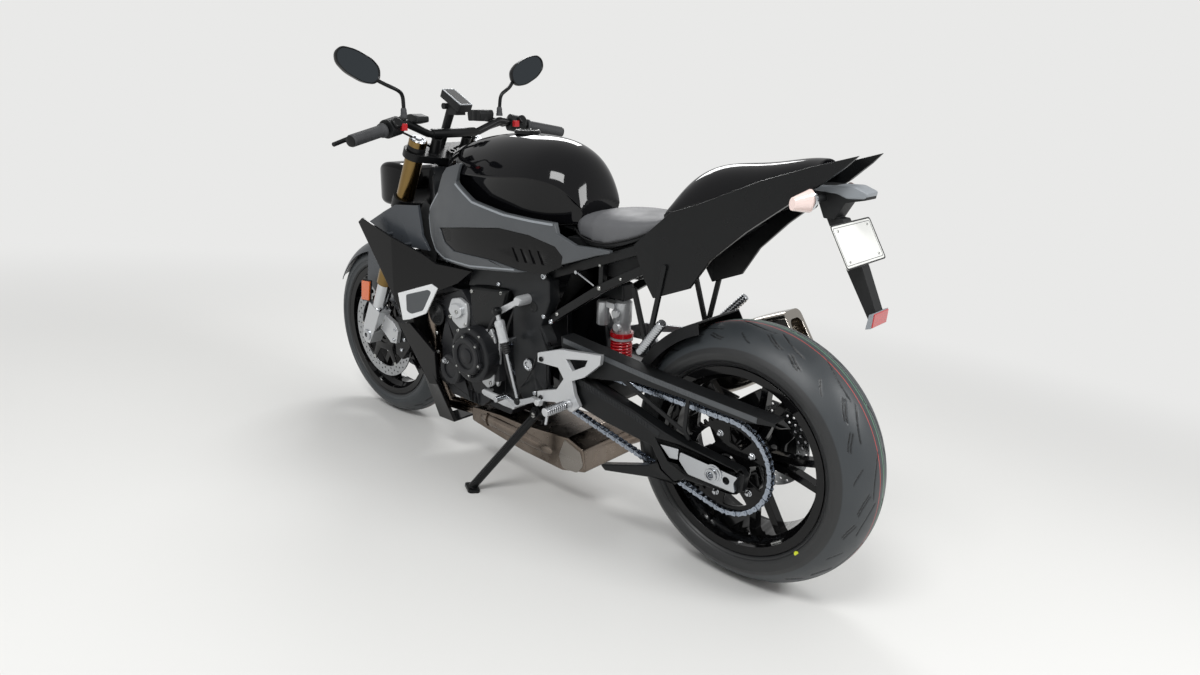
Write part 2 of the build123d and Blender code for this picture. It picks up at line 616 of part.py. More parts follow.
# Exhaust: four headers, a collector box under the engine and the silencer
header_table = [-126, -44, 44, 126]
COLLECTOR_Z = 160.0
HEADER_R = 19.0
with BuildPart() as exhaust_pipes:
    for y in header_table:
        add(pipe([(1049, y, 528), (1072, y, 524), (1072, y, 300), (1046, y * 0.72, COLLECTOR_Z + 4),
                  (900, y * 0.42, COLLECTOR_Z)], HEADER_R, 22))
    add(plate([(930, 138), (930, 184), (800, 196), (700, 196), (520, 214), (462, 196), (450, 132), (540, 108),
               (700, 112), (830, 126)], -96, 100, 8))
    add(pipe([(500, -60, 160), (455, -150, 175), (395, -186, 300), (347, -212, 358)], 27, 40))
keep("exhaust_pipes", exhaust_pipes.part)

silencer_stations = [
    # distance back from the pipe's end, half width, half height
    (0, 30, 34), (60, 44, 62), (330, 48, 70), (392, 40, 58),
]
silencer_low = Vector(350, -216, 356)
silencer_along = Vector(-360, 0, 236).normalized()
with BuildPart() as muffler:
    for reach, half_w, half_h in silencer_stations:
        with BuildSketch(Plane(origin=silencer_low + silencer_along * reach, x_dir=(0, 1, 0),
                               z_dir=silencer_along)):
            RectangleRounded(2 * half_w, 2 * half_h, 20)
    loft()
    end = silencer_low + silencer_along * silencer_stations[-1][0]
    with BuildSketch(Plane(origin=end, x_dir=(0, 1, 0), z_dir=silencer_along)):
        RectangleRounded(52, 70, 16)
    extrude(amount=-60, mode=Mode.SUBTRACT)
    add(exhaust_pipes.part, mode=Mode.SUBTRACT)
keep("muffler", muffler.part)

# Radiator with the oil cooler under it
radiator_up = Vector(62, 0, 310).normalized()
with BuildPart() as radiator:
    for low, tall, half, depth in [((1118, 0, 352), 290, 170, 34), ((1104, 0, 238), 92, 120, 28)]:
        with BuildSketch(Plane(origin=placed(low), x_dir=(0, 1, 0), z_dir=radiator_up)):
            Rectangle(2 * half, depth)
        extrude(amount=tall)
    for y in (-90, 90):
        add(bar((1121, y, 322), (1121, y, 358), 9))
        add(bar((1046, y, 545), (1148, y, 545), 10))
    add(engine_block.part, mode=Mode.SUBTRACT)
keep("radiator", radiator.part)

# Tank, side trims, gloss inserts
tank_stations = [
    # x, half width below, half width at the crease, bottom, crease, top
    (1088, 52, 66, 858, 896, 940),
    (960, 112, 128, 800, 893, 987),
    (800, 132, 152, 782, 899, 1010),
    (655, 124, 142, 782, 912, 1006),
    (566, 96, 108, 790, 898, 974),
    (508, 66, 72, 800, 842, 866),
]
with BuildPart() as fuel_tank:
    add(crowned(tank_stations))
    add(bar((790, 0, 1000), (790, 0, 1018), 34))
    add(steering_room, mode=Mode.SUBTRACT)
    add(frame.part, mode=Mode.SUBTRACT)
keep("fuel_tank", fuel_tank.part)

trim_stations = [
    # x, half width low, middle, high, bottom, middle level, top
    (1090, 112, 128, 84, 600, 740, 950),
    (960, 148, 164, 120, 600, 760, 950),
    (800, 156, 172, 140, 600, 760, 950),
    (600, 152, 162, 124, 600, 740, 950),
    (280, 124, 128, 100, 600, 740, 950),
]
TRIM_WALL = 14.0
INSERT_INSET = 4.0


def trim_body(inset):
    """Flared body that the side panels are cut from, moved inwards"""
    return flared([(x, low - inset, mid - inset, high - inset, z_low, z_mid, z_high)
                   for x, low, mid, high, z_low, z_mid, z_high in trim_stations])


trim_outline = [(983, 905), (998, 886), (1010, 835), (1071, 772), (1054, 699), (1025, 658), (972, 641),
                (846, 641), (657, 664), (578, 684), (459, 726), (395, 750), (330, 768), (395, 768),
                (459, 766), (520, 786), (532, 812), (609, 812), (706, 816), (830, 834), (916, 873),
                (914, 924)]
gill_table = [(560, 700), (590, 698), (620, 696), (650, 695)]
GILL_LENGTH = 34.0
GILL_WIDTH = 9.0
GILL_DEPTH = 5.0
insert_outline = [(985, 736), (860, 756), (721, 774), (612, 770), (524, 754), (497, 732), (501, 706),
                  (560, 675),
                  (651, 672), (753, 682), (917, 680), (963, 699)]
PANEL_GAP = 2.0
with BuildPart() as tank_side_trims:
    add(plate(trim_outline, 60, 200, 4, insert_outline))
    add(trim_body(0), mode=Mode.INTERSECT)
    add(trim_body(TRIM_WALL), mode=Mode.SUBTRACT)
    add(fuel_tank.part, mode=Mode.SUBTRACT)
    add(frame.part, mode=Mode.SUBTRACT)
    mirror(about=Plane.XZ)
keep("tank_side_trims", tank_side_trims.part)

with BuildPart() as tank_side_inserts:
    with BuildSketch(Plane.XZ.offset(-60)) as window:
        with BuildLine():
            Polyline(*insert_outline, close=True)
        make_face()
        offset(amount=-PANEL_GAP / 4)
    extrude(amount=-140)
    add(trim_body(INSERT_INSET), mode=Mode.INTERSECT)
    add(trim_body(TRIM_WALL), mode=Mode.SUBTRACT)
    with BuildPart(mode=Mode.PRIVATE) as gills:
        for x, z in gill_table:
            add(plate([(x, z), (x + GILL_WIDTH, z), (x + GILL_WIDTH + GILL_LENGTH / 2, z + GILL_LENGTH),
                       (x + GILL_LENGTH / 2, z + GILL_LENGTH)], 60, 200))
        add(trim_body(INSERT_INSET + GILL_DEPTH), mode=Mode.SUBTRACT)
    add(gills.part, mode=Mode.SUBTRACT)
    mirror(about=Plane.XZ)
keep("tank_side_inserts", tank_side_inserts.part)

# Seat, cowl and tail
seat_stations = [
    # x, half width below, half width at the edge, bottom, edge, top
    (560, 62, 66, 786, 800, 812),
    (500, 88, 98, 770, 812, 836),
    (400, 108, 122, 764, 822, 848),
    (310, 108, 116, 790, 826, 846),
    (240, 92, 96, 824, 842, 856),
]
with BuildPart() as rider_seat:
    add(crowned(seat_stations))
    add(fuel_tank.part, mode=Mode.SUBTRACT)
    add(tank_side_trims.part, mode=Mode.SUBTRACT)
keep("rider_seat", rider_seat.part)

cowl_stations = [
    # x, half width below, half width at the edge, bottom, edge, top
    (238, 86, 88, 846, 866, 900),
    (165, 84, 90, 850, 894, 972),
    (60, 74, 80, 880, 934, 994),
    (-40, 56, 62, 936, 974, 1010),
    (-112, 40, 48, 978, 1002, 1018),
]
with BuildPart() as tail_cowl:
    add(crowned(cowl_stations))
    add(subframe.part, mode=Mode.SUBTRACT)
    add(rider_seat.part, mode=Mode.SUBTRACT)
keep("tail_cowl", tail_cowl.part)

tail_outline = [(292, 792), (195, 880), (133, 903), (-11, 969), (-113, 1006), (-202, 1034), (-180, 1011),
                (-138, 975), (-101, 948), (-56, 912), (14, 857), (89, 786), (137, 713), (230, 674),
                (262, 720)]
tail_outer = [(300, 128), (230, 124), (60, 104), (-112, 76), (-204, 58), (-204, 0), (300, 0)]
tail_inner = [(310, 120), (230, 116), (60, 92), (-112, 60), (-170, 52), (-210, 50), (-210, -1), (310, -1)]
with BuildPart() as tail_side_panels:
    add(plate(tail_outline, 20, 140))
    add(plan(tail_outer, 600, 1100), mode=Mode.INTERSECT)
    add(plan(tail_inner, 600, 1100), mode=Mode.SUBTRACT)
    add(crowned(cowl_stations), mode=Mode.SUBTRACT)
    for other in (subframe, rider_seat, tank_side_trims):
        add(other.part, mode=Mode.SUBTRACT)
    mirror(about=Plane.XZ)
keep("tail_side_panels", tail_side_panels.part)

# Tray under the seat, plate hanger, plate and lamps
with BuildPart() as underseat_tray:
    add(plate([(556, 720), (540, 770), (300, 790), (250, 830), (90, 880), (70, 850), (200, 760), (300, 700),
               (520, 676)], -92, 92))
    for other in (rider_seat, tail_cowl, subframe):
        add(other.part, mode=Mode.SUBTRACT)
keep("underseat_tray", underseat_tray.part)

PLATE_TILT = 59.0
PLATE_W = 178.0
PLATE_H = 95.0
PLATE_T = 2.0
plate_down = Vector(-cos(radians(PLATE_TILT)), 0, -sin(radians(PLATE_TILT)))
plate_out = Vector(-sin(radians(PLATE_TILT)), 0, cos(radians(PLATE_TILT)))
plate_top = Vector(-172, 0, 897)
with BuildPart() as number_plate:
    with BuildSketch(Plane(origin=plate_top + plate_down * (PLATE_H / 2), x_dir=(0, 1, 0), z_dir=plate_out)):
        RectangleRounded(PLATE_W, PLATE_H, 8)
    extrude(amount=PLATE_T)
keep("number_plate", number_plate.part)

INDICATOR_X = -124.0
INDICATOR_Z = 941.0
with BuildPart() as plate_hanger:
    add(plate([(-64, 968), (-64, 944), (-104, 946), (-126, 900), (-150, 900), (-170, 936), (-212, 946),
               (-214, 960), (-186, 970)], -24, 24))
    add(plate([(-126, 905), (-186, 800), (-246, 706), (-262, 722), (-236, 776), (-221, 808), (-166, 902)],
              -17, 17))
    with BuildSketch(Plane(origin=plate_top + plate_down * (PLATE_H / 2) - plate_out * (PLATE_T + 2.3),
                           x_dir=(0, 1, 0), z_dir=plate_out)):
        RectangleRounded(PLATE_W - 30, PLATE_H - 20, 6)
    extrude(amount=PLATE_T + 2)
    add(bar((-122, -88, 941), (-122, 88, 941), 8))
    for other in (tail_cowl, number_plate, tail_side_panels):
        add(other.part, mode=Mode.SUBTRACT)
keep("plate_hanger", plate_hanger.part)

with BuildPart() as rear_lamps:
    for hand in (1, -1):
        with BuildSketch(Plane(origin=(INDICATOR_X, hand * 88.3, INDICATOR_Z), z_dir=(0, hand, 0))):
            Ellipse(24, 14)
        with BuildSketch(Plane(origin=(INDICATOR_X + 8, hand * 142, INDICATOR_Z - 2), z_dir=(0, hand, 0))):
            Ellipse(13, 7)
        loft()
    add(plate([(-250, 706), (-263, 724), (-300, 722), (-288, 708)], -32, 32))
    add(plate_hanger.part, mode=Mode.SUBTRACT)
keep("rear_lamps", rear_lamps.part)

# Radiator shrouds, their lower panels, front side covers and the engine's front pan
shroud_outline = [(1306, 716), (1286, 731), (1030, 655), (985, 634), (850, 632), (905, 588), (1010, 538),
                  (1042, 467), (1115, 440), (1153, 509)]
shroud_lower_outline = [(1129, 524), (1000, 572), (976, 562), (1024, 478), (1085, 450), (1114, 442)]
shroud_band = [(1330, 226), (1150, 214), (1010, 184), (830, 152)]
SHROUD_T = 8.0
SLAT_X = (930, 948, 966, 984, 1002)
SLAT_T = 4.0
SLAT_DEPTH = 26.0
SLAT_INNER_Y = 139.5
SHROUD_PANEL_T = 4.0


def band(line, inner, outer):
    """Plan band beside a line of (x, y) points"""
    near = [(x, y + inner) for x, y in line]
    far = [(x, y + outer) for x, y in line]
    return near + far[::-1]


def shroud_lower_panel():
    """Thin panel on the shroud's outer face"""
    with BuildPart() as made:
        add(plate(shroud_lower_outline, 100, 260))
        add(plan(band(shroud_band, 0, SHROUD_PANEL_T), 400, 800), mode=Mode.INTERSECT)
    return made.part


with BuildPart() as radiator_shrouds:
    add(plate(shroud_outline, 100, 260))
    add(plan(band(shroud_band, -SHROUD_T, 0), 400, 800), mode=Mode.INTERSECT)
    for x, z in [(1100, 620), (1100, 500)]:
        add(bar((x + 30, 170.3, z), (x + 30, 205, z), 6))
    with BuildPart(mode=Mode.PRIVATE) as slats:
        for x in SLAT_X:
            add(plate([(x, 574), (x + SLAT_T, 574), (x + SLAT_T + 12, 634), (x + 12, 634)], SLAT_INNER_Y,
                      230))
        add(plan(band(shroud_band, -SLAT_DEPTH, 1 - SHROUD_T), 400, 800), mode=Mode.INTERSECT)
        add(plan([(800, 0), (1200, 0), (1200, SLAT_INNER_Y), (800, SLAT_INNER_Y)], 400, 800),
            mode=Mode.SUBTRACT)
        add(plate(shroud_outline, 100, 260), mode=Mode.INTERSECT)
    add(slats.part)
    mirror(about=Plane.XZ)
keep("radiator_shrouds", radiator_shrouds.part)

side_cover_outline = [(1322, 708), (1180, 779), (1082, 788), (1068, 700), (1040, 660), (1243, 658)]
side_cover_plan = [(1330, 178), (1230, 180), (1060, 160), (1030, 158), (1030, 150), (1060, 152), (1230, 172),
                   (1330, 170)]
with BuildPart() as shroud_panels:
    add(plate(side_cover_outline, 100, 220))
    add(plan(side_cover_plan, 600, 900), mode=Mode.INTERSECT)
    add(trim_body(-SEAT_GAP), mode=Mode.SUBTRACT)
    for x, y_end, z in [(1120, 204, 670), (1200, 213, 690)]:
        add(bar((x, 164, z), (x, y_end, z), 5))
    add(shroud_lower_panel())
    add(radiator_shrouds.part, mode=Mode.SUBTRACT)
    mirror(about=Plane.XZ)
keep("shroud_panels", shroud_panels.part)

arm_side_outline = [(1174, 414), (1114, 427), (995, 362), (988, 262), (1025, 254), (1065, 299)]
with BuildPart() as belly_pan:
    add(plate(arm_side_outline, 174, 186))
    with BuildSketch(Plane.YZ.offset(drawn(1064))):
        with BuildLine():
            Polyline((174, 299), (186, 299), (124, 116), (112, 116), close=True)
        make_face()
    with BuildSketch(Plane.YZ.offset(drawn(988))):
        with BuildLine():
            Polyline((174, 270), (186, 270), (124, 120), (112, 120), close=True)
        make_face()
    loft()
    add(plate([(1066, 116), (988, 120), (988, 126), (1058, 122)], 0, 118))
    mirror(about=Plane.XZ)
    for hand in (1, -1):
        add(bar((1130, hand * 170.3, 400), (1130, hand * 176, 400), 6))
keep("belly_pan", belly_pan.part)

# Foot rests, pedals and hangers
hanger_outline = [(560, 470), (479, 499), (338, 518), (341, 492), (392, 446), (434, 425), (424, 389),
                  (406, 363),
                  (431, 340), (493, 350), (560, 334), (560, 362), (489, 387), (464, 423), (484, 448),
                  (560, 444)]
hanger_hole = [(456, 478), (382, 494), (390, 476), (434, 452)]
hanger_outer = HANGER_INNER_Y + HANGER_T
with BuildPart() as foot_rests:
    for hand in (1, -1):
        add(plate(hanger_outline, hand * HANGER_INNER_Y, hand * hanger_outer, 0, hanger_hole))
        add(bar((441, hand * hanger_outer, 362), (446, hand * 262, 360), 11))
    add(plate([(678, 326), (668, 312), (630, 298), (560, 334), (534, 330), (534, 344), (566, 348),
               (632, 316)],
              182, 194))
    add(bar((672, 184, 318), (672, 228, 318), 8))
    add(bar((545, 177.8, 338), (545, 196, 338), 9))
    add(bar((622, 190, 318), (676, 190, 470), 5))
    add(bar((676, 152.5, 474), (676, 196, 474), 9))
    add(plate([(600, 300), (548, 336), (548, 350), (600, 316), (700, 300), (700, 288)], -196, -184))
    add(bar((692, -186, 294), (692, -236, 294), 8))
    add(bar((552, -177.8, 343), (552, -190, 343), 9))
    for hand in (1, -1):
        add(strip([(200, 754), (240, 547), (287, 684)], 12, hand * 118.3, hand * 128))
        add(bar((240, hand * 126, 547), (240, hand * 152, 547), 9))
        add(bar((240, hand * 150, 547), (161, hand * 172, 640), 10))
    for other in (subframe, tail_side_panels, frame):
        add(other.part, mode=Mode.SUBTRACT)
keep("foot_rests", foot_rests.part)

# Chain guard and hugger
guard_outline = with_rear_axle([(510, 519), (203, 492), (-125, 475), (-128, 468), (-53, 456), (99, 463),
                                (265, 462),
                                (300, 452), (410, 430.5), (500, 438.5)])
guard_top = with_rear_axle([(510, 519), (203, 492), (-125, 475), (-125, 471), (203, 488), (510, 515)])
guard_struts = [with_rear_axle([(300, 458), (108, 382)]), with_rear_axle([(100, 468), (104, 384), (92, 368)])]
GUARD_Y = 137.0
HUGGER_R = REAR_TYRE_R + GUARD_GAP
HUGGER_T = 4.0
with BuildPart() as rear_guards:
    add(plate(guard_outline, GUARD_Y, GUARD_Y + 5))
    add(plate(guard_top, CHAIN_Y - 12, GUARD_Y + 5))
    for strut in guard_struts:
        add(strip(strut, 10, GUARD_Y, GUARD_Y + 5))
    with BuildSketch(Plane(origin=rear_axle_point, x_dir=(cos(radians(19)), 0, sin(radians(19))),
                           z_dir=(-sin(radians(19)), 0, cos(radians(19))))):
        with BuildLine():
            Polyline((HUGGER_R, -84), (HUGGER_R, 84), (HUGGER_R - 24, 91), (HUGGER_R - 24, 94),
                     (HUGGER_R + HUGGER_T, 87), (HUGGER_R + HUGGER_T, -87), (HUGGER_R - 24, -94),
                     (HUGGER_R - 24, -91), close=True)
        make_face()
    revolve(axis=Axis(rear_axle_point, (0, -1, 0)), revolution_arc=49)
    for hand in (1, -1):
        add(plate([(316, 426.7), (470, 426.7), (470, 431), (316, 431)], hand * 45, hand * 84))
keep("rear_guards", rear_guards.part)

# Rear caliper on its bracket
CALIPER_ANGLE = 52.0
caliper_side = Plane(origin=rear_axle_point, x_dir=(cos(radians(CALIPER_ANGLE)), 0,
                                                    sin(radians(CALIPER_ANGLE))),
                     z_dir=(0, -1, 0))
with BuildPart() as rear_caliper:
    with BuildSketch(caliper_side.offset(56)):
        with Locations((107, 0)):
            RectangleRounded(38, 86, 8)
    extrude(amount=38)
    with BuildSketch(caliper_side.offset(-REAR_DISC_Y - 1.6)):
        Circle(REAR_DISC_R + 3)
    extrude(amount=DISC_T + 3.2, mode=Mode.SUBTRACT)
    with BuildSketch(caliper_side.offset(94)):
        Circle(28)
        with Locations((60, 0)):
            Rectangle(112, 26)
        Circle(20 + SEAT_GAP, mode=Mode.SUBTRACT)
    extrude(amount=8)
keep("rear_caliper", rear_caliper.part)

# Shock absorber between the frame's lug and the swingarm's cross member
with BuildPart() as shock_absorber:
    add(bar((424, 0, 426.5), (428, 0, 520), 11))
    add(bar((424, 0, 426.5), (424, 0, 446), 17))
    add(bar((424.9, 0, 446), (426.4, 0, 500), 30))
    add(bar((426.5, 0, 500), (432, 0, 606), 25))
    add(bar((432, 0, 590), (432, 0, SHOCK_TOP_Z), 16))
    add(bar((466, 30, 540), (466, 30, 606), 17))
    add(bar((430, 0, 585), (466, 30, 585), 12))
    add(frame.part, mode=Mode.SUBTRACT)
keep("shock_absorber", shock_absorber.part)

# Steering: stem and yokes
with BuildPart() as triple_clamps:
    for height, tall in [(LOWER_YOKE, LOWER_YOKE_T), (UPPER_YOKE, UPPER_YOKE_T)]:
        with BuildSketch(Plane(origin=on_steering(height), x_dir=steer_fore, z_dir=steer_up)):
            with Locations((FORK_OFFSET, FORK_SPREAD), (FORK_OFFSET, -FORK_SPREAD)):
                Circle(FORK_TUBE_R + CLAMP_WALL)
            with Locations((0, 0)):
                Circle(YOKE_STEM_R)
            make_hull()
            with Locations((FORK_OFFSET, FORK_SPREAD), (FORK_OFFSET, -FORK_SPREAD)):
                Circle(FORK_TUBE_R + SEAT_GAP, mode=Mode.SUBTRACT)
        extrude(amount=tall)
    add(bar(on_steering(LOWER_YOKE - 8), on_steering(UPPER_YOKE + 36), STEM_R))
    add(bar(on_steering(LOWER_YOKE - 9), on_steering(UPPER_YOKE + 37), 7.5), mode=Mode.SUBTRACT)
    for side in (56, -56):
        add(bar(on_steering(UPPER_YOKE + 22, 14, side), on_steering(1062, 14, side), 15))
    for side in (FORK_SPREAD, -FORK_SPREAD):
        add(bar(on_steering(LOWER_YOKE + 4, FORK_OFFSET + 34, side),
                on_steering(LOWER_YOKE + 4, FORK_OFFSET + 52, side), 8))
keep("triple_clamps", triple_clamps.part)

# Fork: outer tubes, and stanchions with their feet and the axle
with BuildPart() as fork_tubes:
    for side in (FORK_SPREAD, -FORK_SPREAD):
        add(bar(on_steering(TUBE_LOW, FORK_OFFSET, side), on_steering(FORK_TOP - 12, FORK_OFFSET, side),
                FORK_TUBE_R,
                STANCHION_R + SEAT_GAP))
        add(bar(on_steering(FORK_TOP - 12, FORK_OFFSET, side), on_steering(FORK_TOP, FORK_OFFSET, side),
                FORK_TUBE_R))
keep("fork_tubes", fork_tubes.part)

foot_side = Plane(origin=front_axle_point, x_dir=steer_fore, z_dir=(0, -1, 0))
foot_outline = [(-34, 118), (-28, 30), (-20, -24), (0, -32), (24, -22), (32, 20), (29, 118)]
lug_outline = [(-26, 100), (-84, 104), (-112, 88), (-118, 44), (-92, 28), (-26, 40)]
FOOT_INNER_Y = 80.0
FOOT_OUTER_Y = 128.0
with BuildPart() as fork_legs:
    for hand in (1, -1):
        add(bar(on_steering(400, FORK_OFFSET, hand * FORK_SPREAD),
                on_steering(740, FORK_OFFSET, hand * FORK_SPREAD),
                STANCHION_R))
        with BuildSketch(foot_side.offset(-hand * FOOT_INNER_Y)):
            with BuildLine():
                Polyline(*foot_outline, close=True)
            make_face()
        extrude(amount=-hand * (FOOT_OUTER_Y - FOOT_INNER_Y))
        with BuildSketch(foot_side.offset(-hand * (FOOT_INNER_Y + 4))):
            with BuildLine():
                Polyline(*lug_outline, close=True)
            make_face()
        extrude(amount=-hand * 16)
        add(bar(on_front_axle(hand * (FRONT_HUB_HALF + 1)), on_front_axle(hand * FOOT_INNER_Y), 17))
    add(bar(on_front_axle(-132), on_front_axle(134), AXLE_R))
    add(bar(on_front_axle(-140), on_front_axle(140), AXLE_BORE_R), mode=Mode.SUBTRACT)
keep("fork_legs", fork_legs.part)

# Front calipers
with BuildPart() as front_calipers:
    with BuildSketch(foot_side.offset(-46)):
        with BuildLine():
            Polyline((-92, 96), (-60, 112), (-128, 160), (-170, 62), (-150, -6), (-112, -8), (-96, 28),
                     close=True)
        make_face()
    extrude(amount=-38)
    with BuildSketch(foot_side.offset(-FRONT_DISC_Y - DISC_T / 2 - 1.6)):
        Circle(FRONT_DISC_R + 3)
    extrude(amount=DISC_T + 3.2, mode=Mode.SUBTRACT)
    with BuildSketch(foot_side.offset(-40)):
        Circle(98)
    extrude(amount=-50, mode=Mode.SUBTRACT)
    mirror(about=Plane.XZ)
keep("front_calipers", front_calipers.part)

# Handlebar, grips, controls, display and mirrors
BAR_R = 11.1
bar_points = [on_steering(1076, 14, 0), on_steering(1076, 14, 92), placed((1108, 176, 1020)),
              placed((1047, 390, 982))]
with BuildPart() as handlebar:
    add(pipe(bar_points, BAR_R, 30))
    add(bar(on_steering(1076, 14, 0), on_steering(1076, 14, 80), 14))
    mirror(about=Plane.XZ)
keep("handlebar", handlebar.part)

grip_start = bar_points[3] + (bar_points[2] - bar_points[3]).normalized() * 130
grip_end = bar_points[3] + (bar_points[3] - bar_points[2]).normalized() * 4
with BuildPart() as grips:
    add(bar(grip_start, grip_end, 16.5))
    add(bar(bar_points[2], bar_points[3], BAR_R + 0.1), mode=Mode.SUBTRACT)
    mirror(about=Plane.XZ)
keep("grips", grips.part)

control_start = bar_points[2] + (bar_points[3] - bar_points[2]).normalized() * 34
control_end = bar_points[2] + (bar_points[3] - bar_points[2]).normalized() * 84
lever_pivot = placed((1128, 206, 1008))
lever_knee = placed((1142, 300, 992))
lever_tip = placed((1118, 400, 968))
with BuildPart() as bar_controls:
    add(bar(control_start, control_end, 26))
    add(bar(bar_points[2], bar_points[3], BAR_R + 0.1), mode=Mode.SUBTRACT)
    add(bar(control_start + Vector(18, -14, 2), lever_pivot + Vector(4, 4, 0), 11))
    add(bar(lever_pivot, lever_knee, 6))
    add(bar(lever_knee, lever_tip, 6))
    mirror(about=Plane.XZ)
    add(bar((1142, -130, 1018), (1142, -130, 1050), 28))
    add(bar((1142, -130, 1026), (1120, -206, 1014), 8))
    add(handlebar.part, mode=Mode.SUBTRACT)
    add(grips.part, mode=Mode.SUBTRACT)
keep("bar_controls", bar_controls.part)

with BuildPart() as display:
    with BuildSketch(Plane(origin=placed((1150, 0, 1098)), x_dir=(0, 1, 0),
                           z_dir=(-cos(radians(32)), 0, sin(radians(32))))):
        RectangleRounded(172, 96, 10)
    extrude(amount=-22)
    add(bar(on_steering(1008, 55), (1166, 0, 1092), 12))
    for other in (triple_clamps, handlebar, bar_controls):
        add(other.part, mode=Mode.SUBTRACT)
keep("display", display.part)

mirror_stem = [(1112, 178, 1034), (1116, 182, 1098), (1132, 262, 1158), (1150, 300, 1176)]
with BuildPart() as mirrors:
    add(pipe(mirror_stem, 5.5, 18))
    add(bar((1110, 177, 1031), (1113, 179, 1062), 9))
    with BuildSketch(Plane(origin=placed((1152, 312, 1184)), x_dir=(0, 1, 0), z_dir=(-1, 0, 0.12))):
        with Locations(Location((0, 0), 24)):
            Ellipse(76, 38)
    with BuildSketch(Plane(origin=placed((1186, 306, 1184)), x_dir=(0, 1, 0), z_dir=(-1, 0, 0.12))):
        with Locations(Location((0, 0), 24)):
            Ellipse(46, 22)
    loft()
    mirror(about=Plane.XZ)
    add(handlebar.part, mode=Mode.SUBTRACT)
keep("mirrors", mirrors.part)

# Headlight and front mudguard
headlight_sections = [
    # x, half width, low, high
    (1262, 64, 768, 868), (1330, 92, 752, 886), (1392, 80, 756, 872), (1424, 40, 776, 836),
]
LAMP_FACE_X = 1388.0
LAMP_SPREAD = 38.0
LAMP_Z = 812.0
LAMP_R = 27.0
with BuildPart() as headlight:
    for x, half, low, high in headlight_sections:
        with BuildSketch(Plane(origin=(drawn(x), 0, (low + high) / 2), x_dir=(0, 1, 0), z_dir=(1, 0, 0))):
            RectangleRounded(2 * half, high - low, 16)
    loft()
    for side in (52, -52):
        add(bar(on_steering(LOWER_YOKE + 20, 40, side), (1290, side, 800), 9))
        add(bar(on_steering(UPPER_YOKE + 12, 36, side), (1290, side, 856), 7))
    for side in (LAMP_SPREAD, -LAMP_SPREAD):
        add(bar((LAMP_FACE_X, side, LAMP_Z), (LAMP_FACE_X + 60, side, LAMP_Z), LAMP_R), mode=Mode.SUBTRACT)
        with BuildSketch(Plane(origin=(drawn(LAMP_FACE_X - 1), side, LAMP_Z), z_dir=(1, 0, 0))):
            Circle(LAMP_R - 3)
        with BuildSketch(Plane(origin=(drawn(LAMP_FACE_X + 9), side, LAMP_Z), z_dir=(1, 0, 0))):
            Circle(LAMP_R - 12)
        loft()
    add(triple_clamps.part, mode=Mode.SUBTRACT)
keep("headlight", headlight.part)

GUARD_START = 30.0
GUARD_ARC = 118.0
MUDGUARD_R = FRONT_TYRE_R + GUARD_GAP + 0.5
MUDGUARD_EDGE_R = MUDGUARD_R - 35
MUDGUARD_HALF = FRONT_TYRE_HALF + 8
mudguard_side = with_front_axle([(1504, 572), (1420, 578), (1352, 562), (1392, 440), (1416, 400), (1452, 420),
                                 (1520, 470)])
with BuildPart() as front_mudguard:
    with BuildSketch(Plane(origin=front_axle_point, x_dir=(cos(radians(GUARD_START)), 0,
                                                           sin(radians(GUARD_START))),
                           z_dir=(-sin(radians(GUARD_START)), 0, cos(radians(GUARD_START))))):
        with BuildLine():
            ThreePointArc((MUDGUARD_EDGE_R, MUDGUARD_HALF), (MUDGUARD_R + 4, 0),
                          (MUDGUARD_EDGE_R, -MUDGUARD_HALF))
            Line((MUDGUARD_EDGE_R, -MUDGUARD_HALF), (MUDGUARD_EDGE_R, 3 - MUDGUARD_HALF))
            ThreePointArc((MUDGUARD_EDGE_R, 3 - MUDGUARD_HALF), (MUDGUARD_R, 0),
                          (MUDGUARD_EDGE_R, MUDGUARD_HALF - 3))
            Line((MUDGUARD_EDGE_R, MUDGUARD_HALF - 3), (MUDGUARD_EDGE_R, MUDGUARD_HALF))
        make_face()
    revolve(axis=Axis(front_axle_point, (0, -1, 0)), revolution_arc=GUARD_ARC)
    for hand in (1, -1):
        add(plate(mudguard_side, hand * 66, hand * 70))
        add(bar(on_front_axle(hand * 70) + Vector(-29, 0, 108),
                on_front_axle(hand * 79.7) + Vector(-29, 0, 108), 8))
keep("front_mudguard", front_mudguard.part)

# Side stand, swinging about the pin on the frame
FOOT_T = 9.0
with BuildPart() as side_stand:
    add(bar(pivot_point - stand_axis * 12, pivot_point + stand_axis * 12, 17))
    add(bar(pivot_point, foot_point + Vector(0, 0, 8), STAND_LEG_R))
    with BuildSketch(foot_plane):
        RectangleRounded(62, 34, 10, rotation=-28)
    extrude(amount=FOOT_T)
    with BuildSketch(foot_plane):
        Rectangle(200, 200)
    extrude(amount=-30, mode=Mode.SUBTRACT)
    add(bar(pivot_point - stand_axis * 13, pivot_point + stand_axis * 13, 6.5), mode=Mode.SUBTRACT)
keep("side_stand", side_stand.part)

# Lean every piece onto the stand and centre them over the origin
upright_box = Compound(children=[piece.moved(leaned) for piece in pieces.values()]).bounding_box()
parked = Location((-upright_box.center().X, -upright_box.center().Y, -upright_box.min.Z)) * leaned

if __name__ == "__main__":
    os.makedirs("parts", exist_ok=True)
    for name, piece in pieces.items():
        stored = piece.moved(parked)
        stored.label = name
        export_step(stored, f"parts/{name}.step")
    print("parked", parked)
    print("pivot", parked * Location(STAND_PIVOT), "fold", stand_fold_angle)
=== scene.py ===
from math import asin, atan2, cos, hypot, pi, radians, sin, tau

import bmesh
import bpy
import json
from mathutils import Matrix, Vector
from mathutils.bvhtree import BVHTree


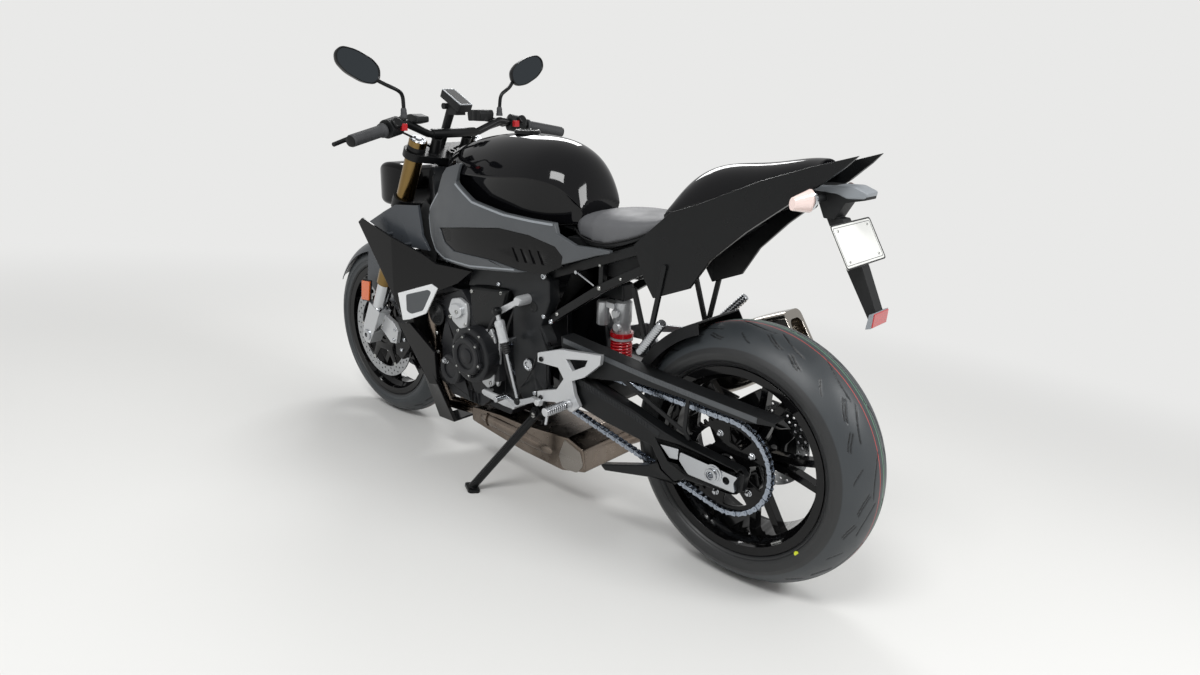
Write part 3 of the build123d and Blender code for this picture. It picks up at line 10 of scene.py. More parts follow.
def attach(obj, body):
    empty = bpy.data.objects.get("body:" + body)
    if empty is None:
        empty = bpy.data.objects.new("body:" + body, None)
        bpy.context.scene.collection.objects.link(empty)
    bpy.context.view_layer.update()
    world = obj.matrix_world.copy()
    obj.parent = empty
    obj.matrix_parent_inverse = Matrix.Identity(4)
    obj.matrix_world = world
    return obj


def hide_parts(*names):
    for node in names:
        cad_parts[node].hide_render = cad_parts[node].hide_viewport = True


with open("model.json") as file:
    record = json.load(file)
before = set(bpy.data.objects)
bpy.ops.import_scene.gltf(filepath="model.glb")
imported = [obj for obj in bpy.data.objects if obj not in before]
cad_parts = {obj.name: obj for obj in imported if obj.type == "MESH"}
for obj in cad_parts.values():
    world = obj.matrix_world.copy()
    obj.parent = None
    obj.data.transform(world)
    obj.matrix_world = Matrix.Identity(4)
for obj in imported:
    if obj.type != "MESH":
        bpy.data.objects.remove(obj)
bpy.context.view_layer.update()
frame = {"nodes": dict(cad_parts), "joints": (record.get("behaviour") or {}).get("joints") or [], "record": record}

# Places are written with the motorcycle upright: millimetres, x forward from the rear axle,
# y to the rider's left, z up from the ground. PARK turns them into the leaning frame's metres.
LEAN = radians(8)
PHOTO_LEAN = radians(3)
WHEELBASE = 1447
REAR_TYRE_R = 320.5
FRONT_TYRE_R = 300
RAKE = radians(24.2)
TRAIL = 96
FORK_OFFSET = 35.4
FORK_SPREAD = 105
joints = {joint["name"]: joint for joint in frame["joints"]}
lean_turn = Matrix.Rotation(-LEAN, 4, "X")
rear_axle_parked = Vector(joints["rear_wheel_roll"]["pos_m"])
park_shift = rear_axle_parked - lean_turn @ Vector((0, 0, REAR_TYRE_R / 1000))
PARK = Matrix.Translation(park_shift) @ lean_turn @ Matrix.Scale(0.001, 4)

REAR_AXLE = Vector((0, 0, REAR_TYRE_R))
FRONT_AXLE = Vector((WHEELBASE, 0, FRONT_TYRE_R))
UP_FORK = Vector((-sin(RAKE), 0, cos(RAKE)))
AHEAD_FORK = Vector((cos(RAKE), 0, sin(RAKE)))


def on_steering(height, fore=0, side=0):
    """Point up the steering axis, ahead of it and to its left"""
    return Vector((WHEELBASE + TRAIL, side, 0)) + UP_FORK * height + AHEAD_FORK * fore


# Camera of the photograph, turned with the motorcycle by the difference in lean
CAMERA_AT = Vector((-910, 1645, 1087))
CAMERA_YAW = radians(-48.94)
CAMERA_PITCH = radians(-15.63)
CAMERA_ROLL = radians(3.83)
FOCAL_PX = 820.4
IMAGE_W = 1200


def add_camera():
    """Camera at the photograph's place beside the motorcycle"""
    ahead = Vector((cos(CAMERA_PITCH) * cos(CAMERA_YAW), cos(CAMERA_PITCH) * sin(CAMERA_YAW), sin(CAMERA_PITCH)))
    level = ahead.cross(Vector((0, 0, 1))).normalized()
    rise = level.cross(ahead)
    right = level * cos(CAMERA_ROLL) + rise * sin(CAMERA_ROLL)
    up = rise * cos(CAMERA_ROLL) - level * sin(CAMERA_ROLL)
    turn = Matrix((right, up, -ahead)).transposed().to_4x4()
    stand_up = Matrix.Rotation(PHOTO_LEAN, 4, "X")
    place = Matrix.Translation(park_shift) @ lean_turn @ stand_up
    data = bpy.data.cameras.new("photo_camera")
    data.sensor_fit = "HORIZONTAL"
    data.sensor_width = 36
    data.lens = 36 * FOCAL_PX / IMAGE_W
    data.clip_start = 0.05
    camera = bpy.data.objects.new("photo_camera", data)
    camera.matrix_world = place @ Matrix.Translation(CAMERA_AT / 1000) @ turn
    bpy.context.scene.collection.objects.link(camera)
    bpy.context.scene.camera = camera


add_camera()


# Materials

def colour(hex_code, alpha=1.0):
    """sRGB hex to the linear colour that Blender's sockets take"""
    channels = [int(hex_code[i:i + 2], 16) / 255 for i in (0, 2, 4)]
    return tuple(c / 12.92 if c <= 0.04045 else ((c + 0.055) / 1.055) ** 2.4 for c in channels) + (alpha,)


def node(tree, kind, settings=None, **links):
    """A node with its settings and input values or links"""
    made = tree.nodes.new(kind)
    for key, value in (settings or {}).items():
        setattr(made, key, value)
    for key, value in links.items():
        socket = made.inputs[int(key[1:])] if key[0] == "i" and key[1:].isdigit() else made.inputs[key.replace("_",
            " ")]
        if isinstance(value, bpy.types.NodeSocket):
            tree.links.new(value, socket)
        else:
            socket.default_value = value
    return made


def finish(name, base, roughness, metallic=0.0, coat=0.0, coat_roughness=0.03, ior=None, grain=0, depth=0,
           patch=None, patch_mm=60, matt=0.0, voronoi=False, stretch=(1, 1, 1)):
    """Surface with a grain of a real size and a slow change of shade and gloss"""
    made = bpy.data.materials.new(name)
    made.use_nodes = True
    tree = made.node_tree
    shader = tree.nodes["Principled BSDF"]
    shader.inputs["Base Color"].default_value = colour(base)
    shader.inputs["Metallic"].default_value = metallic
    shader.inputs["Roughness"].default_value = roughness
    if coat:
        shader.inputs["Coat Weight"].default_value = coat
        shader.inputs["Coat Roughness"].default_value = coat_roughness
    if ior:
        shader.inputs["IOR"].default_value = ior
    place = node(tree, "ShaderNodeTexCoord").outputs["Object"]
    if stretch != (1, 1, 1):
        place = node(tree, "ShaderNodeMapping", Vector=place, Scale=stretch).outputs["Vector"]
    if patch or matt:
        cloud = node(tree, "ShaderNodeTexNoise", Vector=place, Scale=1000 / patch_mm, Detail=4.0)
        if patch:
            ramp = node(tree, "ShaderNodeMix", {"data_type": "RGBA"}, i0=cloud.outputs["Fac"],
                        i6=colour(base), i7=colour(patch))
            tree.links.new(ramp.outputs[2], shader.inputs["Base Color"])
        if matt:
            span = node(tree, "ShaderNodeMapRange", Value=cloud.outputs["Fac"], From_Min=0.3, From_Max=0.7,
                        To_Min=max(roughness - matt, 0.02), To_Max=roughness + matt)
            tree.links.new(span.outputs["Result"], shader.inputs["Roughness"])
    if grain:
        if voronoi:
            cells = node(tree, "ShaderNodeTexVoronoi", {"feature": "DISTANCE_TO_EDGE"}, Vector=place,
                Scale=1000 / grain)
            height = cells.outputs["Distance"]
        else:
            height = node(tree, "ShaderNodeTexNoise", Vector=place, Scale=1000 / grain, Detail=3.0).outputs["Fac"]
        bump = node(tree, "ShaderNodeBump", Height=height, Distance=depth / 1000, Strength=1.0)
        tree.links.new(bump.outputs["Normal"], shader.inputs["Normal"])
    return made


# Gloss black lacquer over steel and ABS: mirror-like, with the faint ripple of sprayed paint
tank_lacquer = finish("gloss_black_lacquer", "08080A", 0.06, ior=1.36, grain=9, depth=0.008)
# Polished black ABS mouldings: gloss, a little softer than paint
gloss_abs = finish("gloss_black_abs", "0A0A0B", 0.1, ior=1.33, grain=6, depth=0.01)
# Satin grey painted mouldings beside the tank: a dull sheen and very fine grain
satin_grey = finish("satin_grey_moulding", "4A4D50", 0.4, grain=0.7, depth=0.012, patch="434649", matt=0.05)
# Spark-textured black polypropylene: matt with a fine sandy grain
black_pp = finish("textured_black_polypropylene", "161718", 0.5, ior=1.33, grain=0.9, depth=0.03, patch="1C1D1E",
    matt=0.06)
# Satin black tail mouldings
satin_black = finish("satin_black_moulding", "101112", 0.3, ior=1.33, grain=0.8, depth=0.01, matt=0.05)
# Grained vinyl seat cover: soft matt grey-black with pebbled cells
seat_vinyl = finish("grained_seat_vinyl", "5E5F61", 0.55, grain=1.6, depth=0.06, voronoi=True, patch="56575A",
    matt=0.05)
# Anthracite powder coat on the cast frame: slight orange peel
powder_coat = finish("anthracite_powder_coat", "1E2022", 0.36, ior=1.33, grain=1.6, depth=0.03, patch="191A1C",
    matt=0.05)
black_coat = finish("black_powder_coat", "111213", 0.34, ior=1.33, grain=1.5, depth=0.025, matt=0.05)
wheel_coat = finish("gloss_black_wheel_enamel", "09090A", 0.09, ior=1.36, grain=5, depth=0.012)
engine_coat = finish("black_engine_coat_on_casting", "17181A", 0.44, ior=1.36, grain=1.1, depth=0.06,
    patch="202124", matt=0.08)
# Sand-cast aluminium alloy left bare: dull grey with a pitted skin
cast_alloy = finish("sand_cast_aluminium", "8E9194", 0.42, metallic=0.9, grain=1.2, depth=0.08, patch="74777A",
    matt=0.08)
# Silver enamel on forged brackets and fork feet
silver_enamel = finish("silver_enamel_on_forging", "C4C6C8", 0.32, metallic=0.55, grain=1.4, depth=0.02, matt=0.04)
# Turned and milled aluminium: bright, with fine tool marks along one way
milled_alloy = finish("milled_aluminium", "C7C9CC", 0.2, metallic=1.0, grain=0.6, depth=0.012, stretch=(0.12, 1, 1),
                      patch="AFB2B6", matt=0.05)
gold_anodised = finish("gold_anodised_aluminium", "8A7248", 0.24, metallic=1.0, grain=0.8, depth=0.006,
                       patch="7C653C", patch_mm=120, matt=0.04)
hard_chrome = finish("hard_chrome_on_steel", "D0D3D6", 0.06, metallic=1.0, grain=4, depth=0.004)
zinc_steel = finish("zinc_plated_steel", "A9ABAC", 0.28, metallic=1.0, patch="C2C2BD", patch_mm=8, matt=0.06)
chain_steel = finish("nickel_plated_chain_steel", "AEB6C2", 0.26, metallic=1.0, patch="8C949F", patch_mm=14,
    matt=0.08)
disc_steel = finish("ground_brake_disc_steel", "A6A8AA", 0.3, metallic=1.0, grain=0.9, depth=0.008, matt=0.05)
# Stainless headers: straw to brown from heat
heated_steel = finish("heat_tinted_stainless", "54463C", 0.24, metallic=1.0, patch="9A9086", patch_mm=55, matt=0.1)
brushed_steel = finish("brushed_stainless_steel", "A6A19B", 0.3, metallic=1.0, grain=0.8, depth=0.01,
                       stretch=(0.08, 1, 1), patch="8D8780", patch_mm=90, matt=0.06)
red_enamel = finish("red_enamel_on_spring", "A5121B", 0.22, coat=0.6, grain=3, depth=0.01)
hose_rubber = finish("moulded_hose_rubber", "1A1A1B", 0.6, grain=0.8, depth=0.03, matt=0.06)
grip_rubber = finish("moulded_grip_rubber", "2B2C2E", 0.68, grain=0.9, depth=0.05, patch="424345", matt=0.05)
fin_metal = finish("black_radiator_fins", "161616", 0.5, metallic=0.3, grain=1.2, depth=0.12, stretch=(1, 1, 0.2))
white_sheet = finish("white_reflective_sheeting", "E6E7E3", 0.34, grain=1.2, depth=0.01, coat=0.3)
grey_panel = finish("pale_grey_moulding", "8A8F94", 0.38, grain=0.8, depth=0.01, patch="84898E", matt=0.04)
slate_panel = finish("slate_grey_moulding", "3E4247", 0.3, grain=0.8, depth=0.01, patch="393D42", matt=0.04)
polished_steel = finish("polished_muffler_steel", "B9B4AD", 0.14, metallic=1.0, grain=0.8, depth=0.006,
                        stretch=(0.08, 1, 1), patch="A8A29A", patch_mm=90, matt=0.05)
pale_panel = finish("white_painted_moulding", "DADCDD", 0.3, coat=0.4, grain=4, depth=0.008)
screen_black = finish("display_screen", "0B0D10", 0.08, coat=1.0)
screen_edge = finish("light_grey_display_bezel", "9DA1A5", 0.36, grain=0.8, depth=0.01)
mirror_face = finish("tinted_mirror_glass", "4A4F53", 0.03, metallic=1.0)
clear_lens = finish("clear_lamp_lens", "E8D2CC", 0.08, coat=1.0)
amber_lens = finish("amber_reflector", "D9600A", 0.16, coat=1.0, grain=3.5, depth=0.3, voronoi=True)
red_lens = finish("red_reflector", "B30A12", 0.14, coat=1.0, grain=3.5, depth=0.3, voronoi=True)
button_red = finish("red_switch_button", "B0141C", 0.4)
# Near black, put into holes as painted shade
painted_shade_black = finish("shadowed_recess", "050505", 0.8)


# Meshes

def sealed(name, mesh, material, body, hides=(), smooth=35, bevel=0.0, rounds=0):
    """Object from a mesh written upright in millimetres: parked, shaded and riding"""
    mesh.transform(PARK)
    mesh.materials.clear()
    for one in material if isinstance(material, (list, tuple)) else [material]:
        mesh.materials.append(one)
    made = bpy.data.objects.new(name, mesh)
    bpy.context.scene.collection.objects.link(made)
    mesh.polygons.foreach_set("use_smooth", [True] * len(mesh.polygons))
    mesh.set_sharp_from_angle(angle=radians(smooth))
    if bevel:
        edge = made.modifiers.new("soft_edges", "BEVEL")
        edge.width = bevel / 1000
        edge.segments = 2
        edge.limit_method = "ANGLE"
        edge.angle_limit = radians(32)
        edge.harden_normals = True
    if rounds:
        smoothing = made.modifiers.new("rounding", "SUBSURF")
        smoothing.levels = smoothing.render_levels = rounds
    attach(made, body)
    if hides:
        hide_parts(*hides)
    return made


def mesh_of(name, parts):
    """One closed mesh from (points, faces) parts"""
    points, faces = [], []
    for part_points, part_faces in parts:
        faces += [[i + len(points) for i in face] for face in part_faces]
        points += [tuple(p) for p in part_points]
    mesh = bpy.data.meshes.new(name)
    mesh.from_pydata(points, [], faces)
    shell = bmesh.new()
    shell.from_mesh(mesh)
    bmesh.ops.remove_doubles(shell, verts=shell.verts, dist=0.001)
    bmesh.ops.recalc_face_normals(shell, faces=shell.faces)
    shell.to_mesh(mesh)
    shell.free()
    return mesh


def turned(profile, centre, axis=(0, 1, 0), steps=64, closed=False):
    """Solid of revolution: (radius, distance along the axis) points about an axis"""
    along = Vector(axis).normalized()
    side = along.orthogonal().normalized()
    other = along.cross(side)
    count = len(profile)
    points = [Vector(centre) + along * a + (side * cos(tau * i / steps) + other * sin(tau * i / steps)) * r
              for i in range(steps) for r, a in profile]
    spans = count if closed else count - 1
    faces = [[i * count + j, i * count + (j + 1) % count, (i + 1) % steps * count + (j + 1) % count,
              (i + 1) % steps * count + j] for i in range(steps) for j in range(spans)]
    return points, faces


def round_bar(start, end, radius, end_radius=None, steps=24):
    """Round bar with flat ends"""
    start, end = Vector(start), Vector(end)
    length = (end - start).length
    tip = radius if end_radius is None else end_radius
    return turned([(0, 0), (radius, 0), (tip, length), (0, length)], start, end - start, steps)


def lofted(rings, capped=True):
    """Skin over rings of equal counts of points"""
    count = len(rings[0])
    points = [p for ring in rings for p in ring]
    faces = [[i * count + j, i * count + (j + 1) % count, (i + 1) * count + (j + 1) % count, (i + 1) * count + j]
             for i in range(len(rings) - 1) for j in range(count)]
    if capped:
        faces += [list(range(count))[::-1], [len(points) - count + j for j in range(count)]]
    return points, faces


def block(low, high):
    """Box between two corners"""
    x0, y0, z0 = low
    x1, y1, z1 = high
    return lofted([[(x, y0, z0), (x, y1, z0), (x, y1, z1), (x, y0, z1)] for x in (x0, x1)])


def mirrored(parts):
    """Parts with their mirror images on the right"""
    return parts + [([(p[0], -p[1], p[2]) for p in points], [face[::-1] for face in faces])
                    for points, faces in parts]


def outline_plate(name, loops, y_from, y_to, edge=0.0, steps=2):
    """Plate from side outlines of (x, z) points, the first outer and the rest holes, with rounded edges"""
    data = bpy.data.curves.new(name, "CURVE")
    data.dimensions = "2D"
    data.fill_mode = "BOTH"
    for loop in loops:
        line = data.splines.new("POLY")
        line.points.add(len(loop) - 1)
        for point, (x, z) in zip(line.points, loop):
            point.co = (x, z, 0, 1)
        line.use_cyclic_u = True
    data.extrude = abs(y_to - y_from) / 2 - edge
    data.bevel_depth = edge
    data.bevel_resolution = steps
    data.offset = -edge
    holder = bpy.data.objects.new(name, data)
    mesh = bpy.data.meshes.new_from_object(holder)
    bpy.data.objects.remove(holder)
    mesh.transform(Matrix(((1, 0, 0, 0), (0, 0, -1, (y_from + y_to) / 2), (0, 1, 0, 0), (0, 0, 0, 1))))
    return mesh


def circle(centre, radius, steps=24, start=0.0):
    """Points (x, z) round a centre"""
    return [(centre[0] + radius * cos(start + tau * i / steps), centre[1] + radius * sin(start + tau * i / steps))
            for i in range(steps)]


def rounded(points, radius, steps=5):
    """Outline with its corners turned into arcs"""
    made = []
    count = len(points)
    for i in range(count):
        before, here, after = (Vector(points[(i + k - 1) % count]) for k in range(3))
        back, ahead = before - here, after - here
        reach = min(radius, back.length * 0.45, ahead.length * 0.45)
        first, last = here + back.normalized() * reach, here + ahead.normalized() * reach
        for k in range(steps + 1):
            t = k / steps
            made.append(tuple(first * (1 - t) ** 2 + here * 2 * t * (1 - t) + last * t * t))
    return made


def tube(name, points, radius, smooth=True, steps=8, radii=None):
    """Round tube along a smooth line"""
    data = bpy.data.curves.new(name, "CURVE")
    data.dimensions = "3D"
    line = data.splines.new("NURBS" if smooth else "POLY")
    line.points.add(len(points) - 1)
    for i, (point, place) in enumerate(zip(line.points, points)):
        point.co = (*place, 1)
        point.radius = radii[i] if radii else 1
    if smooth:
        line.order_u = 3
        line.use_endpoint_u = True
        line.resolution_u = 8
    data.bevel_depth = radius
    data.bevel_resolution = steps // 2
    data.use_fill_caps = True
    holder = bpy.data.objects.new(name, data)
    mesh = bpy.data.meshes.new_from_object(holder)
    bpy.data.objects.remove(holder)
    return mesh


def joined(name, meshes, materials=None):
    """One mesh from several, each with its own material number"""
    made = bmesh.new()
    for i, mesh in enumerate(meshes):
        if materials:
            mesh.polygons.foreach_set("material_index", [materials[i]] * len(mesh.polygons))
        made.from_mesh(mesh)
        bpy.data.meshes.remove(mesh)
    bmesh.ops.remove_doubles(made, verts=made.verts, dist=0.0005)
    mesh = bpy.data.meshes.new(name)
    made.to_mesh(mesh)
    made.free()
    return mesh


bodies = frame["record"]["behaviour"]["bodies"]
body_of = {name: body for body, names in bodies.items() for name in names}


def softened(name, material, edge=1.2, keep=None, title=None):
    """Copy of a CAD node with its sharp edges broken, in the node's place"""
    mesh = frame["nodes"][name].data.copy()
    shell = bmesh.new()
    shell.from_mesh(mesh)
    bmesh.ops.remove_doubles(shell, verts=shell.verts, dist=0.00002)
    if keep:
        bmesh.ops.delete(shell, geom=[f for f in shell.faces if not keep(f.calc_center_median())], context="FACES")
    bmesh.ops.dissolve_limit(shell, angle_limit=radians(0.6), verts=shell.verts, edges=shell.edges)
    shell.to_mesh(mesh)
    shell.free()
    mesh.materials.clear()
    mesh.materials.append(material)
    mesh.polygons.foreach_set("use_smooth", [True] * len(mesh.polygons))
    mesh.set_sharp_from_angle(angle=radians(30))
    made = bpy.data.objects.new(title or name + "_soft", mesh)
    bpy.context.scene.collection.objects.link(made)
    if edge:
        soft = made.modifiers.new("soft_edges", "BEVEL")
        soft.width = edge / 1000
        soft.segments = 2
        soft.limit_method = "ANGLE"
        soft.angle_limit = radians(34)
        soft.use_clamp_overlap = False
        soft.harden_normals = True
    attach(made, body_of[name])
    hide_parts(name)
    return made


# Geometry node trees for what repeats

def new_tree(name, inputs):
    """Empty geometry tree with named inputs; returns the tree, its input node and its output node"""
    tree = bpy.data.node_groups.new(name, "GeometryNodeTree")
    tree.interface.new_socket("Geometry", in_out="INPUT", socket_type="NodeSocketGeometry")
    for label, kind in inputs:
        tree.interface.new_socket(label, in_out="INPUT", socket_type=kind)
    tree.interface.new_socket("Geometry", in_out="OUTPUT", socket_type="NodeSocketGeometry")
    return tree, tree.nodes.new("NodeGroupInput"), tree.nodes.new("NodeGroupOutput")


def end_tree(tree, shape, material, out):
    """Realized and finished geometry as the tree's output"""
    real = node(tree, "GeometryNodeRealizeInstances", i0=shape)
    painted = node(tree, "GeometryNodeSetMaterial", Geometry=real.outputs["Geometry"], Material=material)
    tree.links.new(painted.outputs["Geometry"], out.inputs["Geometry"])


def grown(name, mesh, tree, values):
    """Plain mesh that a tree makes from a starting mesh and named values"""
    holder = bpy.data.objects.new(name, mesh)
    bpy.context.scene.collection.objects.link(holder)
    maker = holder.modifiers.new("tree", "NODES")
    maker.node_group = tree
    for item in tree.interface.items_tree:
        if item.in_out == "INPUT" and item.name in values:
            maker[item.identifier] = values[item.name]
    bpy.context.view_layer.update()
    shown = holder.evaluated_get(bpy.context.evaluated_depsgraph_get())
    made = bpy.data.meshes.new_from_object(shown)
    bpy.data.objects.remove(holder)
    return made


def stock(name, mesh):
    """Unlinked object that trees take copies from"""
    return bpy.data.objects.new(name, mesh)


def spots_tree():
    """Copies of one item at points, each aimed and sized by the points' own values"""
    tree, inside, out = new_tree("items_at_spots", [("Item", "NodeSocketObject"), ("Finish", "NodeSocketMaterial"),
                                                     ("Size", "NodeSocketFloat")])
    item = node(tree, "GeometryNodeObjectInfo", i0=inside.outputs["Item"])
    aim = node(tree, "GeometryNodeInputNamedAttribute", {"data_type": "FLOAT_VECTOR"}, Name="aim")
    size = node(tree, "GeometryNodeInputNamedAttribute", {"data_type": "FLOAT"}, Name="size")
    scale = node(tree, "ShaderNodeMath", {"operation": "MULTIPLY"}, i0=size.outputs["Attribute"],
        i1=inside.outputs["Size"])
    turn = node(tree, "FunctionNodeAlignRotationToVector", {"axis": "Z"}, Vector=aim.outputs["Attribute"])
    points = node(tree, "GeometryNodeMeshToPoints", Mesh=inside.outputs["Geometry"])
    placed = node(tree, "GeometryNodeInstanceOnPoints", Points=points.outputs["Points"],
        Instance=item.outputs["Geometry"],
                  Rotation=turn.outputs["Rotation"], Scale=scale.outputs["Value"])
    end_tree(tree, placed.outputs["Instances"], inside.outputs["Finish"], out)
    return tree


def wheel_tree():
    """Copies of one item evenly round the wheel's axle"""
    tree, inside, out = new_tree("items_round_axle", [("Item", "NodeSocketObject"), ("Finish",
        "NodeSocketMaterial"),
                                                       ("Count", "NodeSocketInt")])
    item = node(tree, "GeometryNodeObjectInfo", i0=inside.outputs["Item"])
    points = node(tree, "GeometryNodePoints", Count=inside.outputs["Count"])
    index = node(tree, "GeometryNodeInputIndex")
    part = node(tree, "ShaderNodeMath", {"operation": "DIVIDE"}, i0=index.outputs["Index"],
        i1=inside.outputs["Count"])
    angle = node(tree, "ShaderNodeMath", {"operation": "MULTIPLY"}, i0=part.outputs["Value"], i1=tau)
    turn = node(tree, "ShaderNodeCombineXYZ", Y=angle.outputs["Value"])
    placed = node(tree, "GeometryNodeInstanceOnPoints", Points=points.outputs["Points"],
        Instance=item.outputs["Geometry"],
                  Rotation=turn.outputs["Vector"])
    end_tree(tree, placed.outputs["Instances"], inside.outputs["Finish"], out)
    return tree


def path_tree():
    """Two kinds of item in turn along a closed path"""
    tree, inside, out = new_tree("links_along_path", [("Odd item", "NodeSocketObject"), ("Even item",
        "NodeSocketObject"),
                                                       ("Finish", "NodeSocketMaterial"), ("Count",
                                                       "NodeSocketInt")])
    path = node(tree, "GeometryNodeMeshToCurve", Mesh=inside.outputs["Geometry"])
    points = node(tree, "GeometryNodeCurveToPoints", {"mode": "COUNT"}, Curve=path.outputs["Curve"],
                  Count=inside.outputs["Count"])
    index = node(tree, "GeometryNodeInputIndex")
    odd = node(tree, "ShaderNodeMath", {"operation": "MODULO"}, i0=index.outputs["Index"], i1=2.0)
    even = node(tree, "ShaderNodeMath", {"operation": "LESS_THAN"}, i0=odd.outputs["Value"], i1=0.5)
    turn = node(tree, "FunctionNodeAlignRotationToVector", {"axis": "X", "pivot_axis": "Y"},
                Vector=points.outputs["Tangent"])
    shapes = []
    for label, choice in (("Odd item", odd), ("Even item", even)):
        item = node(tree, "GeometryNodeObjectInfo", i0=inside.outputs[label])
        placed = node(tree, "GeometryNodeInstanceOnPoints", Points=points.outputs["Points"],
                      Selection=choice.outputs["Value"], Instance=item.outputs["Geometry"],
                      Rotation=turn.outputs["Rotation"])
        shapes.append(placed.outputs["Instances"])
    both = node(tree, "GeometryNodeJoinGeometry")
    for shape in shapes:
        tree.links.new(shape, both.inputs[0])
    end_tree(tree, both.outputs["Geometry"], inside.outputs["Finish"], out)
    return tree


spots, round_axle, along_path = spots_tree(), wheel_tree(), path_tree()


def at_spots(name, item, rows, material, size=1.0):
    """Mesh of an item repeated at (place, aim, size) rows"""
    mesh = bpy.data.meshes.new(name)
    mesh.from_pydata([tuple(place) for place, aim, scale in rows], [], [])
    mesh.attributes.new("aim", "FLOAT_VECTOR", "POINT")
    mesh.attributes.new("size", "FLOAT", "POINT")
    for i, (place, aim, scale) in enumerate(rows):
        mesh.attributes["aim"].data[i].vector = aim
        mesh.attributes["size"].data[i].value = scale
    return grown(name, mesh, spots, {"Item": item, "Finish": material, "Size": size})


def socket_head():
    """Button-head screw of unit size: 10 mm across, with its hexagon socket"""
    profile = [(3.0, -1), (5, -1), (5, 1.4), (4.4, 2.8), (3.4, 3.4), (2.4, 3.4), (2.4, 1.2), (0, 1.2)]
    return mesh_of("button_head", [turned(profile, (0, 0, 0), (0, 0, 1), 18)])


def hex_head():
    """Flanged hexagon head of unit size: 10 mm across"""
    flange = turned([(0, -1), (5.6, -1), (5.4, 0.6), (4.6, 1.0), (0, 1.0)], (0, 0, 0), (0, 0, 1), 20)
    body = turned([(0, 0.8), (4.7, 0.8), (4.7, 4.2), (4.0, 5.0), (0, 5.0)], (0, 0, 0), (0, 0, 1), 6)
    return mesh_of("hexagon_head", [flange, body])


screw = stock("button_head", socket_head())
hexagon = stock("hexagon_head", hex_head())


def fixings(name, rows, body, material=None, item=None):
    """Screws at (x, y, z, radius) rows whose heads face outwards, or along a given aim"""
    made = []
    for row in rows:
        x, y, z, radius = row[:4]
        aim = row[4] if len(row) > 4 else (0, 1 if y > 0 else -1, 0)
        made.append(((x, y, z), aim, radius / 5))
    mesh = at_spots(name, item or screw, made, material or zinc_steel)
    return sealed(name, mesh, material or zinc_steel, body, smooth=40)


# Finishes of the CAD nodes that keep their shape, with their edges broken

cad_finishes = {
    # node: finish, width of the broken edge in millimetres
    "rear_rim": (wheel_coat, 1.0), "front_rim": (wheel_coat, 1.0),
    "swingarm": (black_coat, 5.0), "frame": (powder_coat, 5.0), "subframe": (black_coat, 1.5),
    "engine_block": (engine_coat, 2.0), "engine_covers": (engine_coat, 1.5), "exhaust_pipes": (heated_steel, 4.0),
    "muffler": (polished_steel, 1.5), "radiator": (fin_metal, 1.5), "tank_side_trims": (satin_grey, 2.5),
    "tank_side_inserts": (gloss_abs, 1.0), "tail_cowl": (tank_lacquer, 2.0), "underseat_tray": (black_pp, 2.0),
    "plate_hanger": (black_pp, 1.5), "radiator_shrouds": (gloss_abs, 1.5),
    "belly_pan": (gloss_abs, 1.5), "rear_guards": (black_pp, 0.6),
    "rear_caliper": (black_coat, 1.5), "triple_clamps": (black_coat, 1.5),
    "front_calipers": (black_coat, 2.0), "handlebar": (black_coat, 0.6),
    "bar_controls": (black_pp, 1.0), "headlight": (gloss_abs, 2.0), "front_mudguard": (slate_panel, 0.8),
    "side_stand": (black_coat, 1.2),
}
for cad_name, (cad_finish, cad_edge) in cad_finishes.items():
    softened(cad_name, cad_finish, cad_edge)
UPRIGHT = PARK.inverted()


def zoned(name, material, zones, edge=1.2):
    """Softened copy of a CAD node with further finishes where upright places pass a test"""
    made = softened(name, material, edge)
    for other, test in zones:
        made.data.materials.append(other)
    for face in made.data.polygons:
        place = UPRIGHT @ face.center
        for i, (other, test) in enumerate(zones):
            if test(place):
                face.material_index = i + 1
    return made


# Tyres: a repeated sector of tread with its sunk sipes, darkened along them as painted shade, and sidewalls with their
# rings and beads

def tyre_rubber(name, stripes):
    """Moulded tyre rubber: a lighter bluish tread over a darker sidewall, with the maker's thin paint stripes and
    painted shade along the sipes
    """
    made = finish(name, "34383B", 0.46, grain=1.3, depth=0.03, matt=0.07)
    tree = made.node_tree
    shader = tree.nodes["Principled BSDF"]
    across = node(tree, "ShaderNodeAttribute", {"attribute_name": "across"}).outputs["Fac"]
    away = node(tree, "ShaderNodeMath", {"operation": "ABSOLUTE"}, i0=across)
    side = node(tree, "ShaderNodeMapRange", {"interpolation_type": "SMOOTHSTEP"}, Value=away.outputs["Value"],
                From_Min=SHOULDER_MM - 2, From_Max=SHOULDER_MM + 2)
    shade = node(tree, "ShaderNodeMix", {"data_type": "RGBA"}, i0=side.outputs["Result"], i6=colour("34383B"),
                 i7=colour("232425")).outputs[2]
    sipe_painted_shade = node(tree, "ShaderNodeAttribute", {"attribute_name": "sipe_painted_shade"}).outputs["Fac"]
    for at, hex_code, wide in stripes:
        line = node(tree, "ShaderNodeMath", {"operation": "COMPARE"}, i0=across, i1=float(at), i2=wide / 2)
        worn = node(tree, "ShaderNodeMath", {"operation": "MULTIPLY"}, i0=line.outputs["Value"], i1=0.75)
        shade = node(tree, "ShaderNodeMix", {"data_type": "RGBA"}, i0=worn.outputs["Value"], i6=shade,
                     i7=colour(hex_code)).outputs[2]
    # Painted shade: near black where the sipe mask is set
    shade = node(tree, "ShaderNodeMix", {"data_type": "RGBA"}, i0=sipe_painted_shade, i6=shade, i7=colour("0A0A0A")).outputs[2]
    tree.links.new(shade, shader.inputs["Base Color"])
    return made


SHOULDER_MM = 104
sipe_table = [
    # along and across the tread at each end, and the bow of the stroke, in millimetres of one sector
    (6, 9, 104, 30, 7), (92, 44, 138, 66, 3), (97, 40, 143, 62, 3), (118, 22, 196, 50, 6), (168, 66, 205, 82, 2),
    (172, 61, 209, 77, 2), (30, 58, 62, 80, 2),
]
SIPE_HALF = 1.0
SIPE_DEPTH = 3.0


